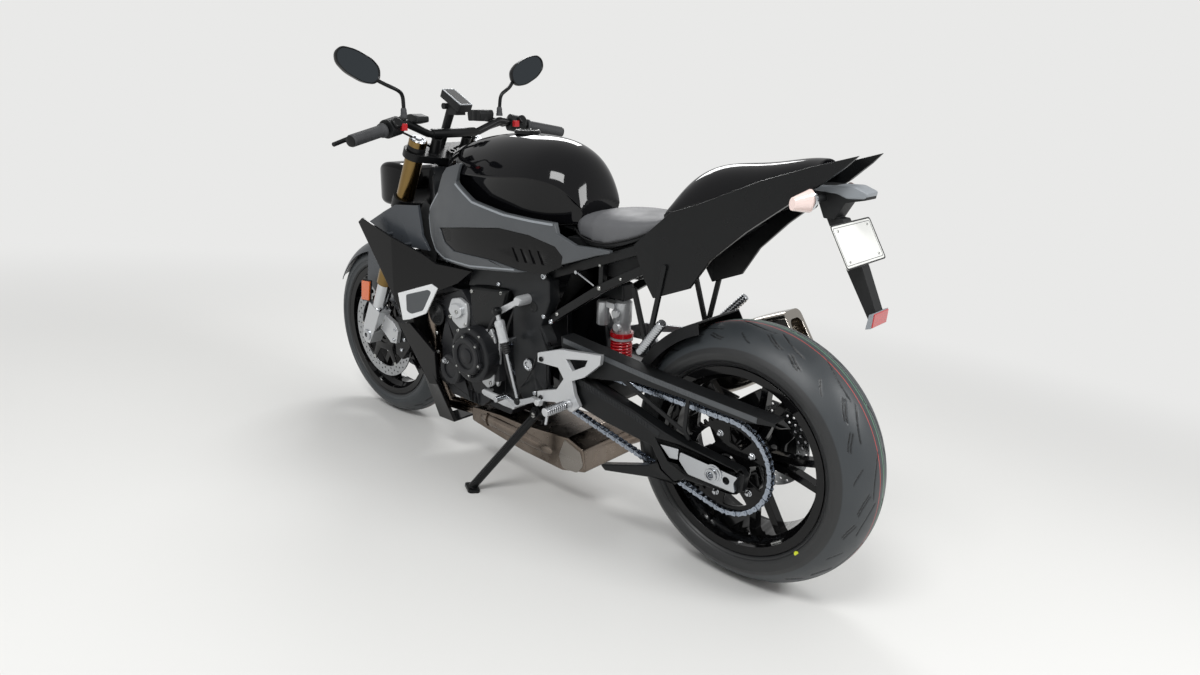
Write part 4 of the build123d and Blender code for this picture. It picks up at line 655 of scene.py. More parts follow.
def sipe_lines(scale, sector):
    """Strokes of both halves as short runs; the right half is shifted by half a sector"""
    lines = []
    for u0, v0, u1, v1, bow in sipe_table:
        for hand, shift in ((1, 0), (-1, sector / 2)):
            points = []
            for k in range(9):
                t = k / 8
                u = u0 + (u1 - u0) * t + shift
                v = (v0 + (v1 - v0) * t + bow * 4 * t * (1 - t)) * scale
                points.append((u, hand * v))
            for wrap in (-sector, 0, sector):
                lines.append([(u + wrap, v) for u, v in points])
    return lines


def stroke_gap(u, v, lines):
    """Distance from a point of the tread to the nearest stroke"""
    best = 99.0
    for line in lines:
        if not (line[0][0] - 6 < u < line[-1][0] + 6):
            continue
        for (ua, va), (ub, vb) in zip(line, line[1:]):
            du, dv = ub - ua, vb - va
            t = min(max(((u - ua) * du + (v - va) * dv) / (du * du + dv * dv), 0), 1)
            best = min(best, hypot(u - ua - t * du, v - va - t * dv))
    return best


def tyre_piece(name, centre, outer_r, widest_r, half, rim_half, repeats, cell, rubber, body, node_name):
    """Whole tyre from one sector repeated round the axle"""
    rise = outer_r - widest_r
    crown = (half ** 2 + rise ** 2) / (2 * rise)
    reach = crown * asin(half / crown)
    steps = round(reach / cell * 1.45)
    flange = rim_half + 7
    side = [(widest_r - 8, half - 0.6, 8), (249, half - 2.4, 14), (246, half - 2.2, 16), (244.6, half - 3.6, 18),
            (241, half - 4.4, 20), (238.6, flange + 3.6, 23), (237.4, flange + 4.4, 24), (236, flange + 3.4, 26),
            (232, flange + 0.4, 30), (230.6, rim_half + 2, 36), (230.5, rim_half - 0.4, 38), (216.4, rim_half - 0.4,
            52),
            (216.4, rim_half - 14, 66)]
    rows = [(r, -y, -(reach + far)) for r, y, far in side[::-1]]
    for k in range(-steps, steps + 1):
        v = reach * k / steps
        rows.append((outer_r - crown * (1 - cos(v / crown)), crown * sin(v / crown), v))
    rows += [(r, y, reach + far) for r, y, far in side]
    sector = tau * outer_r / repeats
    columns = round(sector / cell / 1.3)
    lines = sipe_lines(half / 95, sector)
    points, across, sipe_painted_shades = [], [], []
    for i in range(columns + 1):
        angle = tau / repeats * i / columns
        for r, y, v in rows:
            sink = 0.0
            sipe_painted_shades.append(0.0)
            if abs(v) < reach:
                gap = stroke_gap(sector * i / columns, v, lines)
                sink = SIPE_DEPTH * min(max((SIPE_HALF + 0.5 - gap) / 1.0, 0), 1)
                # Painted shade mask along each sipe, half a millimetre wider than the sunk groove
                sipe_painted_shades[-1] = min(max((SIPE_HALF + 1.0 - gap) / 1.0, 0), 1)
            normal = Vector((cos(angle), 0, sin(angle)))
            points.append(normal * (r - sink) + Vector((0, y, 0)))
            across.append(v)
    count = len(rows)
    faces = [[i * count + j, (i + 1) * count + j, (i + 1) * count + j + 1, i * count + j + 1]
             for i in range(columns) for j in range(count - 1)]
    faces += [[i * count, i * count + count - 1, (i + 1) * count + count - 1,
        (i + 1) * count] for i in range(columns)]
    mesh = bpy.data.meshes.new(name)
    mesh.from_pydata(points, [], faces)
    mesh.attributes.new("across", "FLOAT", "POINT").data.foreach_set("value", across)
    mesh.attributes.new("sipe_painted_shade", "FLOAT", "POINT").data.foreach_set("value", sipe_painted_shades)
    start = bpy.data.meshes.new(name + "_start")
    whole = grown(name, start, round_axle, {"Item": stock(name + "_sector", mesh), "Finish": rubber,
        "Count": repeats})
    shell = bmesh.new()
    shell.from_mesh(whole)
    bmesh.ops.remove_doubles(shell, verts=shell.verts, dist=0.01)
    bmesh.ops.recalc_face_normals(shell, faces=shell.faces)
    shell.to_mesh(whole)
    shell.free()
    whole.transform(Matrix.Translation(centre))
    return sealed(name, whole, rubber, body, (node_name,), smooth=50)


rear_rubber = tyre_rubber("rear_tyre_rubber", [(9, "C0453F", 2.2), (-7, "5F9A78", 2.6), (-16, "7FA38E", 1.2)])
front_rubber = tyre_rubber("front_tyre_rubber", [(6, "B0463F", 1.6)])
tyre_piece("rear_tyre_tread", REAR_AXLE, REAR_TYRE_R, 262, 95, 76.2, 9, 2.7, rear_rubber, "rear_wheel",
    "rear_tyre")
tyre_piece("front_tyre_tread", FRONT_AXLE, FRONT_TYRE_R, 258, 60, 44.5, 9, 3.2, front_rubber, "front_wheel",
           "front_tyre")

# Paint dot on the rear tyre's side, and the wheel's stick-on balance weight
dot_paint = finish("yellow_marking_paint", "C9D22A", 0.5, grain=0.8, depth=0.02)
dot_at = REAR_AXLE + Vector((-cos(0.70), 0, -sin(0.70))) * 244
sealed("tyre_dot", mesh_of("tyre_dot", [turned([(0, -1), (6.5, -1), (6.2, 0.7), (0, 0.9)],
    dot_at + Vector((0, 91.4, 0)),
                                               (0, 1, 0), 20)]), dot_paint, "rear_wheel")


def round_band(centre, radius, inner, y_from, y_to, start, end, steps=10):
    """Curved block that follows a wheel's rim"""
    rings = []
    for k in range(steps + 1):
        angle = start + (end - start) * k / steps
        ray = Vector((cos(angle), 0, sin(angle)))
        rings.append([Vector(centre) + ray * r + Vector((0, y, 0))
                      for r, y in ((inner, y_from), (inner, y_to), (radius, y_to), (radius, y_from))])
    return lofted(rings)


sealed("balance_weight", mesh_of("balance_weight", [round_band(REAR_AXLE, 209, 204.5, 52, 70, -2.28, -2.13)]),
       zinc_steel, "rear_wheel", bevel=1.0)


# Chain: outer and inner links in turn round both sprockets
CHAIN_Y = 108
REAR_PITCH_R = 113.8
DRIVE_PITCH_R = 43.2
DRIVE = Vector((715, 0, 400))
span = hypot(DRIVE.x, DRIVE.z - REAR_TYRE_R)
slope = atan2(DRIVE.z - REAR_TYRE_R, DRIVE.x)
taper = asin((REAR_PITCH_R - DRIVE_PITCH_R) / span)


def chain_path():
    """Closed pitch line of the chain as finely divided points"""
    upper, lower = slope - taper + pi / 2, slope + taper - pi / 2
    points = []
    for k in range(25):
        angle = upper + (lower - upper) * k / 24
        points.append(DRIVE + Vector((cos(angle), 0, sin(angle))) * DRIVE_PITCH_R)
    for k in range(49):
        angle = lower - (tau - (upper - lower)) * k / 48
        points.append(REAR_AXLE + Vector((cos(angle), 0, sin(angle))) * REAR_PITCH_R)
    return [p + Vector((0, CHAIN_Y, 0)) for p in points]


path_points = chain_path()
chain_length = sum((b - a).length for a, b in zip(path_points, path_points[1:] + path_points[:1]))
link_count = round(chain_length / 15.875 / 2) * 2
pitch = chain_length / link_count


def link(y_in, y_out, waist, rollers):
    """One link: two waisted side plates, with its rollers or its pin ends"""
    half = pitch / 2
    outline = []
    for hand in (1, -1):
        for turn in (-60, -30, 0, 30, 60):
            a = radians(turn + (0 if hand == 1 else 180))
            outline.append((hand * half + 7.0 * cos(a), 7.0 * sin(a)))
        outline.append((0, hand * waist))
    parts = []
    for low, high in ((y_in, y_out), (-y_out, -y_in)):
        rings = [[(x, y, z) for x, z in outline] for y in (low, high)]
        parts.append(lofted(rings))
    for x in (-half, half):
        if rollers:
            parts.append(turned([(0, -4.6), (5.08, -4.6), (5.08, 4.6), (0, 4.6)], (x, 0, 0), (0, 1, 0), 8))
        else:
            parts.append(turned([(0, -9.6), (2.4, -9.6), (2.4, 9.6), (0, 9.6)], (x, 0, 0), (0, 1, 0), 6))
    return mesh_of("link", parts)


loop = bpy.data.meshes.new("chain_pitch_line")
loop.from_pydata(path_points, [(i, (i + 1) % len(path_points)) for i in range(len(path_points))], [])
chain_mesh = grown("drive_chain", loop, along_path, {
    "Odd item": stock("inner_link", link(4.7, 6.5, 4.6, True)), "Even item": stock("outer_link",
        link(6.8, 8.6, 4.2, False)),
    "Finish": chain_steel, "Count": link_count})
sealed("drive_chain", chain_mesh, chain_steel, "root", ("chain",), smooth=40)


# Sprocket: toothed ring with large windows, its carrier and the carrier's domed nuts

def toothed(teeth, pitch_r, root, tip, turn=0.0):
    """Outline of a sprocket, six points to a tooth"""
    outline = []
    for i in range(teeth):
        for share, r in ((0.0, root), (0.14, root + 0.4), (0.3, pitch_r), (0.42, tip), (0.58, tip), (0.7, pitch_r),
                         (0.86, root + 0.4)):
            a = turn + tau * (i + share) / teeth
            outline.append((r * cos(a), r * sin(a)))
    return outline


def about(centre, outline):
    """Outline moved to a wheel's centre"""
    return [(centre.x + x, centre.z + z) for x, z in outline]


def window(count, index, r_in, r_out, share, turn=0.0):
    """Rounded window between two arms of a ring"""
    mid = turn + tau * (index + 0.5) / count
    half = tau / count * share / 2
    points = [(r_out * cos(mid - half + 2 * half * k / 8), r_out * sin(mid - half + 2 * half * k / 8)) for k in range(9)]
    inner = half * 0.82
    points += [(r_in * cos(mid + inner - 2 * inner * k / 5), r_in * sin(mid + inner - 2 * inner * k / 5)) for k in range(6)]
    return rounded(points, 5, 3)


sprocket_ring = outline_plate("ring", [about(REAR_AXLE, toothed(45, 113.8, 108.6, 117.6))] + [
    about(REAR_AXLE, window(5, i, 60, 98, 0.56, 0)) for i in range(5)] + [about(REAR_AXLE, circle((0, 0), 34, 32))],
    105.2, 110.8, 0.6, 1)
carrier = outline_plate("carrier", [about(REAR_AXLE, rounded([
    (r * cos(tau * i / 5 + s), r * sin(tau * i / 5 + s)) for i in range(5)
    for r, s in ((50, -0.42), (86, -0.16), (86, 0.16), (50, 0.42))], 8, 3)), about(REAR_AXLE,
        circle((0, 0), 13, 24))],
    64, 104.6, 2, 2)
boss = mesh_of("boss", [turned([(13, 104), (30, 104), (30, 112), (27, 115), (13, 115)], REAR_AXLE, (0, 1, 0), 40,
    True)])
sealed("sprocket_and_carrier", joined("sprocket_and_carrier", [sprocket_ring, carrier, boss]), gloss_abs,
    "rear_wheel",
       ("rear_sprocket",), smooth=30)
dome = stock("domed_nut", mesh_of("domed_nut", [
    turned([(0, -1), (5.6, -1), (5.6, 0.4), (4.9, 0.8), (0, 0.8)], (0, 0, 0), (0, 0, 1), 18),
    turned([(0, 0.6), (4.8, 0.6), (4.8, 3.6), (3.9, 4.4), (0, 4.4)], (0, 0, 0), (0, 0, 1), 6),
    turned([(0, 4.2), (3.6, 4.2), (3.2, 6.0), (1.8, 7.0), (0, 7.2)], (0, 0, 0), (0, 0, 1), 16)]))
fixings("carrier_nuts", [(78 * cos(tau * i / 5), 111, REAR_TYRE_R + 78 * sin(tau * i / 5), 7.5) for i in range(5)],
        "rear_wheel", milled_alloy, dome)


# Brake discs: drilled rings on scalloped carriers

def drilled(centre, outer, inner, rows):
    """Loops of a drilled ring: (radius, holes, hole radius, turn) rows"""
    loops = [about(centre, circle((0, 0), outer, 96)), about(centre, circle((0, 0), inner, 64))]
    for radius, count, hole, turn in rows:
        for i in range(count):
            a = turn + tau * i / count
            loops.append(about(centre, circle((radius * cos(a), radius * sin(a)), hole, 8)))
    return loops


def star(count, root, tip, half_root, half_tip, turn=0.0):
    """Arms that grow out of a hub"""
    return [(r * cos(turn + tau * i / count + s), r * sin(turn + tau * i / count + s)) for i in range(count)
            for r, s in ((root, -half_root), (tip, -half_tip), (tip, half_tip), (root, half_root))]


for hand in (1, -1):
    y_mid = 63 * hand
    low, high = sorted((y_mid - hand * 2.2, y_mid + hand * 2.2))
    label = "left" if hand == 1 else "right"
    rotor = outline_plate("rotor", drilled(FRONT_AXLE, 160, 126, [(133, 24, 3.4, 0), (142, 24, 3.4, 0.13),
                                                                 (151, 24, 3.4, 0.0)]), low, high, 0.4, 1)
    sealed("front_rotor_" + label, rotor, disc_steel, "front_wheel",
           ("front_discs",) if hand == 1 else (), smooth=30)
    hub_star = outline_plate("star", [about(FRONT_AXLE, rounded(star(6, 70, 127, 0.2, 0.07), 10, 3)),
                                      about(FRONT_AXLE, circle((0, 0), 44, 40))], low + 0.3, high - 0.3, 0.8, 2)
    hub = mesh_of("hub", [turned([(31, 50.8), (50, 50.8), (50, 61), (46, 62.4), (31, 62.4)], FRONT_AXLE,
                                 (0, hand, 0), 40, True)])
    sealed("front_disc_carrier_" + label, joined("carrier", [hub_star, hub]), gloss_abs, "front_wheel",
           smooth=30)
rear_rotor = outline_plate("rotor", drilled(REAR_AXLE, 110, 76, [(84, 20, 3.2, 0), (93, 20, 3.2, 0.16),
    (102, 20, 3.2, 0)]),
                           -76.4, -72.1, 0.4, 1)
sealed("rear_rotor", rear_rotor, disc_steel, "rear_wheel", ("rear_disc",), smooth=30)
rear_star = outline_plate("star", [about(REAR_AXLE, rounded(star(5, 50, 77, 0.42, 0.16), 8, 3)),
                                   about(REAR_AXLE, circle((0, 0), 13, 24))], -76.2, -64, 1, 2)
sealed("rear_disc_carrier", rear_star, black_coat, "rear_wheel", smooth=30)
flat_pin = stock("flat_pin", mesh_of("flat_pin", [turned([(0, -1), (5, -1), (5, 0.15), (4.4, 0.4), (2.6, 0.4), (2.2,
    0.1), (0, 0.1)], (0, 0, 0), (0, 0, 1), 18)]))
fixings("front_disc_bobbins", [(WHEELBASE + 124 * cos(tau * i / 6), 65 * hand,
    FRONT_TYRE_R + 124 * sin(tau * i / 6), 7)
                               for i in range(6) for hand in (1, -1)], "front_wheel", zinc_steel,
                                   flat_pin)
fixings("rear_disc_screws", [(62 * cos(tau * i / 5), -76, REAR_TYRE_R + 62 * sin(tau * i / 5),
    5.5) for i in range(5)],
        "rear_wheel", zinc_steel)


# Axle ends, adjusters and wedges
adjuster = [(96, 340), (-62, 332), (-52, 314), (-58, 292), (70, 292), (98, 318)]
wedge = [(158, 338), (104, 343), (104, 316), (128, 312)]
axle_parts = []
for hand in (1, -1):
    low, high = sorted((148.4 * hand, 164 * hand))
    axle_parts.append(outline_plate("adjuster", [rounded(adjuster, 5, 3), circle((-33, 314), 9, 24)], low, high,
        1.0, 2))
    low, high = sorted((148.4 * hand, 160 * hand))
    axle_parts.append(outline_plate("wedge", [rounded(wedge, 3, 2)], low, high, 1.2, 2))
stepped = [(8, 0), (22, 0), (22, 3), (19, 4), (19, 7.5), (15.5, 8.5), (15.5, 15), (14, 16), (11, 16), (10, 13), (8,
    13)]
axle_parts.append(mesh_of("nuts", [
    turned(stepped, (0, 163.6, REAR_TYRE_R), (0, 1, 0), 48, True),
    turned([(8, 0), (20, 0), (20, 6), (16, 8), (8, 8)], (0, -163.6, REAR_TYRE_R), (0, -1, 0), 48, True),
    turned([(8, -170), (12.4, -170), (12.4, 170), (8, 170)], REAR_AXLE, (0, 1, 0), 40, True),
    turned([(12.6, 116.5), (20, 116.5), (20, 121.6), (12.6, 121.6)], REAR_AXLE, (0, 1, 0), 40, True),
    turned([(12.6, -121.6), (20, -121.6), (20, -78), (12.6, -78)], REAR_AXLE, (0, 1, 0), 40, True)]))
sealed("axle_and_adjusters", joined("axle_and_adjusters", axle_parts), milled_alloy, "root",
       ("rear_axle",), smooth=30)
# Dark discs at the inner face of the adjusters' holes: painted shade
sealed("adjuster_holes", mesh_of("adjuster_holes", mirrored([turned([(0, 148.6), (9.4, 148.6), (9.4, 149.4), (0,
    149.4)],
                                                                    (-33, 0, 314), (0, 1, 0), 24)])),
       painted_shade_black, "root")


# Fuel tank: lacquered shell with a crease along each flank and a screwed cap

def creased(mesh, test, weight):
    """Edges whose middle passes a test get a crease for the subdivision"""
    values = mesh.attributes.new("crease_edge", "FLOAT", "EDGE")
    for edge in mesh.edges:
        a, b = (mesh.vertices[i].co for i in edge.vertices)
        values.data[edge.index].value = weight if test(a, b) else 0.0
    return mesh


def both_sides(half):
    """Closed ring from the left half of a section, bottom middle to top middle"""
    return half + [(x, -y, z) for x, y, z in half[-2:0:-1]]


def tank_ring(x, low, edge, z_low, z_edge, z_top, inset):
    """Section of the tank: drawn-in flank, crease and an arched top"""
    rise = z_top - z_edge
    arc_r = (edge ** 2 + rise ** 2) / (2 * rise)
    full = asin(min(edge / arc_r, 1)) if rise <= edge else pi - asin(edge / arc_r)
    flank = [(x, low + (edge - low) * t - inset * bow, z_low + (z_edge - z_low) * t)
             for t, bow in ((0.25, 0.8), (0.6, 1.0), (0.88, 0.7))]
    dome = [(x, arc_r * sin(full * t), z_top - arc_r * (1 - cos(full * t))) for t in (0.84, 0.62, 0.4, 0.2)]
    return both_sides([(x, 0, z_low), (x, low * 0.7, z_low), (x, low, z_low)] + flank + [(x, edge, z_edge)] + dome
                      + [(x, 0, z_top)])


tank_table = [
    # x, half width below, at the crease, bottom, crease, top, depth of the drawn-in flank
    (1071, 50, 62, 862, 895, 940, 2), (1040, 80, 96, 834, 892, 960, 4), (960, 112, 128, 800, 893, 987, 7),
    (880, 124, 141, 790, 896, 1002, 9), (800, 131, 152, 783, 899, 1011, 9), (725, 128, 149, 783, 905, 1012, 9),
    (655, 124, 142, 783, 912, 1007, 9), (610, 112, 129, 786, 907, 995, 8), (566, 96, 109, 791, 898, 974, 6),
    (530, 82, 90, 797, 868, 930, 4), (510, 66, 73, 801, 843, 868, 2)]
shell = mesh_of("tank", [lofted([tank_ring(*row) for row in tank_table])])
crease_at = {(x, round(edge), round(z_edge)) for x, low, edge, z_low, z_edge, z_top, inset in tank_table}
on_crease = lambda p: (round(p.x), round(abs(p.y)), round(p.z)) in crease_at
at_end = lambda p, x: abs(p.x - x) < 0.5
creased(shell, lambda a, b: (on_crease(a) and on_crease(b) and a.y * b.y > 0)
        or any(at_end(a, x) and at_end(b, x) for x in (1071, 510)), 0.72)
sealed("tank_shell", shell, tank_lacquer, "root", ("fuel_tank",), smooth=60, rounds=3)
cap_ring = mesh_of("cap_ring", [turned([(24, 0), (36, 0), (36, 7), (33.5, 9.5), (27, 10), (24, 8)], (790, 0, 1007),
                                       (0, 0, 1), 56, True)])
cap_lid = mesh_of("cap_lid", [
    turned([(0, 0), (23.4, 0), (23.4, 7), (21, 8.6), (0, 9.4)], (790, 0, 1007), (0, 0, 1), 48),
    block((776, -4, 1015), (804, 4, 1018)), block((815, -8, 1012), (824, 8, 1017))])
sealed("cap_ring", cap_ring, satin_black, "root", smooth=30)
sealed("cap_lid", cap_lid, black_pp, "root", smooth=30, bevel=0.6)
fixings("cap_screws", [(790 + 30 * cos(tau * i / 6), 30 * sin(tau * i / 6), 1016.4, 2.6, (0, 0,
    1)) for i in range(6)],
        "root")


# Rider's seat: a pad under vinyl, swollen by cloth under pressure, over a black base

def stuffed(name, mesh, reach_mm, held):
    """Pad that swells under its cover; nothing moves further than the reach, and held places stay"""
    holder = bpy.data.objects.new(name, mesh)
    holder.data.transform(Matrix.Scale(0.001, 4))
    bpy.context.scene.collection.objects.link(holder)
    even = holder.modifiers.new("even", "REMESH")
    even.mode = "VOXEL"
    even.voxel_size = 0.005
    bpy.context.view_layer.update()
    fine = bpy.data.meshes.new_from_object(holder.evaluated_get(bpy.context.evaluated_depsgraph_get()))
    holder.modifiers.remove(even)
    holder.data = fine
    pins = holder.vertex_groups.new(name="pins")
    pins.add([v.index for v in fine.vertices if held(v.co * 1000)], 1.0, "REPLACE")
    start = [v.co.copy() for v in fine.vertices]
    cloth = holder.modifiers.new("cloth", "CLOTH")
    cloth.settings.quality = 5
    cloth.settings.mass = 0.4
    cloth.settings.tension_stiffness = cloth.settings.compression_stiffness = 25
    cloth.settings.bending_stiffness = 6
    cloth.settings.use_pressure = True
    cloth.settings.uniform_pressure_force = 4
    cloth.settings.effector_weights.gravity = 0
    cloth.settings.vertex_group_mass = "pins"
    scene = bpy.context.scene
    for step in range(1, 17):
        scene.frame_set(step)
    swollen = holder.evaluated_get(bpy.context.evaluated_depsgraph_get()).data
    moved = [v.co - a for v, a in zip(swollen.vertices, start)]
    made = fine.copy()
    for vertex, at, move in zip(made.vertices, start, moved):
        length = move.length * 1000
        vertex.co = (at + move * (min(reach_mm / length, 1) if length > 1e-6 else 0)) * 1000
    bpy.data.objects.remove(holder)
    scene.frame_set(1)
    even_out = bmesh.new()
    even_out.from_mesh(made)
    for _ in range(4):
        bmesh.ops.smooth_vert(even_out, verts=even_out.verts, factor=0.5, use_axis_x=True, use_axis_y=True,
            use_axis_z=True)
    even_out.to_mesh(made)
    even_out.free()
    return made


def seat_ring(x, half, z_low, z_edge, z_top, ridge=0.0):
    """Section of the seat pad: upright side, rounded shoulder and a flat top with a soft ridge"""
    rise = z_top - z_edge
    return both_sides([(x, 0, z_low), (x, half * 0.8, z_low), (x, half - 1, z_low + 1), (x, half,
        (z_low + z_edge) / 2),
                       (x, half - 1, z_edge), (x, half * 0.92, z_edge + rise * 0.5), (x, half * 0.72,
                       z_edge + rise * 0.84),
                       (x, half * 0.4, z_top), (x, 0, z_top + ridge)])


seat_rows = [(550, 46, 796, 801, 808, 0), (538, 62, 790, 806, 818, 0), (500, 92, 778, 811, 833, 0.5),
             (440, 111, 774, 818, 844, 1.5), (390, 117, 774, 822, 848, 2), (330, 114, 790, 827, 848, 1.5),
             (285, 104, 808, 834, 851, 0.5), (248, 90, 828, 844, 857, 0)]
pad = mesh_of("seat_pad", [lofted([seat_ring(*row) for row in seat_rows])])
pad = stuffed("seat_pad", pad, 5, lambda p: p.z < 798 or p.x < 254)
seat_pad = sealed("seat_pad", pad, seat_vinyl, "root", ("rider_seat",), smooth=180, rounds=1)
base_table = [(556, 56, 784, 795), (500, 96, 768, 779), (440, 115, 762, 775), (390, 120, 762, 776), (330, 117, 780,
    794),
              (285, 106, 800, 811), (248, 92, 822, 831)]
base_rings = [[(x, half - 14, low), (x, half, low + 1), (x, half + 0.5, high), (x, half - 14, high)]
              for x, half, low, high in base_table]
sealed("seat_base", mesh_of("seat_base", mirrored([lofted(base_rings)])), black_pp, "root",
    rounds=1)
for hand, label in ((1, "left"), (-1, "right")):
    welt = tube("welt", [(x, hand * (half + 0.4), high + 1.2) for x, half, low, high in base_table], 1.6, steps=4)
    sealed("seat_welt_" + label, welt, hose_rubber, "root", smooth=60)


# Tail side panels, the plate with its rim and screws, and the rear lamps
softened("tail_side_panels", satin_black, 2.0)


def set_on(mesh, origin, up, right=(0, 1, 0)):
    """Side-outline mesh laid on a plane: its x along right, its z along up, its y outwards"""
    right, up = Vector(right).normalized(), Vector(up).normalized()
    out = up.cross(right)
    turn = Matrix((right, out, up)).transposed().to_4x4()
    mesh.transform(Matrix.Translation(Vector(origin)) @ turn)
    return mesh


PLATE_TILT = radians(59)
plate_up = Vector((cos(PLATE_TILT), 0, sin(PLATE_TILT)))
plate_out = Vector((-sin(PLATE_TILT), 0, cos(PLATE_TILT)))
plate_mid = Vector((-172, 0, 897)) - plate_up * 47.5
frame_out = rounded([(-89, -47.5), (89, -47.5), (89, 47.5), (-89, 47.5)], 8, 4)
frame_in = rounded([(-86, -44.5), (86, -44.5), (86, 44.5), (-86, 44.5)], 6, 4)
sheet = set_on(outline_plate("sheet", [frame_out], 0.1, 1.5, 0.2, 1), plate_mid, plate_up)
sealed("plate_sheet", sheet, white_sheet, "root", ("number_plate",), smooth=30)
rim = set_on(outline_plate("rim", [frame_out, frame_in], 1.2, 2.4, 0.4, 1), plate_mid, plate_up)
sealed("plate_rim", rim, hose_rubber, "root", smooth=30)
line_out = rounded([(-82, -40.5), (82, -40.5), (82, 40.5), (-82, 40.5)], 4, 3)
line_in = rounded([(-80.8, -39.3), (80.8, -39.3), (80.8, 39.3), (-80.8, 39.3)], 4, 3)
sealed("plate_line", set_on(outline_plate("line", [line_out, line_in], 1.3, 1.75, 0.1, 1), plate_mid, plate_up),
    satin_grey,
       "root", smooth=30)
fixings("plate_screws", [(*(plate_mid + Vector((0, y, 0)) + plate_up * z + plate_out * 1.4), 2.8, plate_out)
                         for y in (-66, 66) for z in (-33, 33)], "root")
softened("rear_lamps", clear_lens, 0.8, keep=lambda c: (UPRIGHT @ c).z > 780)
lamp_rings, bulbs = [], []
for hand in (1, -1):
    lamp_rings.append(turned([(17, 0), (19.5, 0), (19.5, 6), (17, 8)], (-123.5, hand * 84, 941), (0, hand, 0), 32,
        True))
    lamp_rings.append(turned([(0, 0), (8, 0), (10, 3), (10, 5), (0, 5)], (-122, hand * 80, 941), (0, hand, 0), 24))
sealed("indicator_bases", mesh_of("indicator_bases", lamp_rings), hard_chrome, "root", smooth=30)
case = [[(-250, y, 690), (-254, y, 722), (-264, y, 727), (-262, y, 694)] for y in (-35, 35)]
sealed("reflector_case", mesh_of("reflector_case", [lofted(case)]), grey_panel, "root", bevel=1.2)
face = [[(-262, y, 695), (-263.6, y, 725), (-266, y, 724), (-264.6, y, 696)] for y in (-33, 33)]
sealed("reflector_face", mesh_of("reflector_face", [lofted(face)]), red_lens, "root", bevel=0.5)

# Foot rests, pedals and hangers: silver forgings, milled pedals and black struts
strut_zone = lambda p: p.x < 330 and abs(p.y) < 130
zoned("foot_rests", silver_enamel, [(black_coat, strut_zone), (milled_alloy,
    lambda p: p.x > 600 or (p.x < 330 and not strut_zone(p)))],
      1.5)

# Fork feet in silver enamel under hard-chromed stanchions, with the amber reflectors

def on_stanchion(p):
    """Whether a place is on a stanchion's wall above the foot"""
    rel = p - on_steering(400, FORK_OFFSET, FORK_SPREAD if p.y > 0 else -FORK_SPREAD)
    along = rel.dot(UP_FORK)
    return along > 12 and (rel - UP_FORK * along).length < 23.2


zoned("fork_legs", silver_enamel, [(hard_chrome, on_stanchion)], 2.0)
softened("fork_tubes", gold_anodised, 0.6)
sleeves = [turned([(22.6, 0), (26.5, 0), (27.4, 2), (27.4, 26), (26, 28), (22.6, 28)], on_steering(1001,
    FORK_OFFSET, hand * FORK_SPREAD),
                  UP_FORK, 40, True) for hand in (1, -1)]
sealed("fork_sleeves", mesh_of("fork_sleeves", sleeves), black_coat, "steering", smooth=35)
zoned("shroud_panels", slate_panel, [(pale_panel, lambda p: p.z < 575)], 0.8)


# Grips with moulded ribs, bar ends, switches and levers
bar_from = Vector((1108, 176, 1020))
bar_to = Vector((1047, 390, 982))
bar_way = (bar_to - bar_from).normalized()
bar_side = bar_way.cross(Vector((0, 0, 1))).normalized()
bar_top = bar_side.cross(bar_way)


def round_bar_rings(rows, steps=48, rib=0.0):
    """Rings round the bar at (distance from its end inwards, radius) rows, ribbed where asked"""
    rings = []
    for reach, radius, ribbed in rows:
        rings.append([bar_to - bar_way * reach + (bar_side * cos(tau * i / steps) + bar_top * sin(tau * i / steps))
                      * (radius - (rib if ribbed and i % 2 else 0)) for i in range(steps)])
    return lofted(rings)


grip_rows = [(130, 15, 0), (130, 19.5, 0), (126, 20, 0), (123, 19.5, 0), (121, 17, 0), (118, 16.4, 0)]
for at in range(116, 12, -8):
    grip_rows += [(at, 16.5, 1), (at - 6.4, 16.5, 1), (at - 7.2, 15.8, 0)]
grip_rows += [(10, 16.4, 0), (2, 16.4, 0), (0, 15, 0)]
sealed("grip_rubbers", mesh_of("grip_rubbers", mirrored([round_bar_rings(grip_rows, 48, 0.9)])), grip_rubber,
    "steering",
       ("grips",), smooth=50)
end_rows = [(1, 12, 0), (-1, 14.5, 0), (-3.2, 14.5, 0), (-3.8, 13, 0)]
sealed("bar_ends", mesh_of("bar_ends", mirrored([round_bar_rings(end_rows, 32)])), black_coat, "steering")

# Display: slim dark slab under a pale-edged glass that slopes back to the rider
screen_up = Vector((84, 0, 41)).normalized()
screen_mid = Vector((1092, 0, 1093))
slab = rounded([(-24, -48), (24, -48), (24, 48), (-24, 48)], 5, 4)
inner = rounded([(-23, -47), (23, -47), (23, 47), (-23, 47)], 4, 4)
glass = rounded([(-19, -44), (19, -44), (19, 44), (-19, 44)], 3, 3)
stay = mesh_of("stay", [round_bar(on_steering(1008, 55), (1112, 0, 1078), 12, 14), block((1078, -17, 1040),
    (1118, 17, 1074)),
                        turned([(0, -26), (9, -26), (9, 26), (0, 26)], (1128, 0, 1064), (0, 1, 0), 20)])
sealed("display_case", joined("display_case", [set_on(outline_plate("slab", [slab], -26, -2, 2.5, 3), screen_mid,
    screen_up),
                                               stay]), black_pp, "steering", ("display",), smooth=40)
sealed("display_glass", set_on(outline_plate("glass", [glass], -3, -0.9, 0.3, 1), screen_mid, screen_up),
    screen_black,
       "steering", smooth=30)
sealed("display_bezel", set_on(outline_plate("bezel", [inner, glass], -4, -0.3, 0.8, 2), screen_mid, screen_up),
    screen_edge,
       "steering", smooth=30)

# Mirrors: bent stems with rubber boots, and angular heads with dark glass
mirror_at = Vector((1118, 308, 1172))
mirror_out = Vector((-1, 0, 0.12)).normalized()
mirror_right = Vector((0, cos(radians(24)), sin(radians(24))))
mirror_rise = mirror_right.cross(mirror_out)
head_outline = [(-74, -6), (-66, 22), (-38, 36), (20, 37), (62, 26), (75, 4), (66, -20), (30, -35), (-28, -37),
    (-62, -26)]


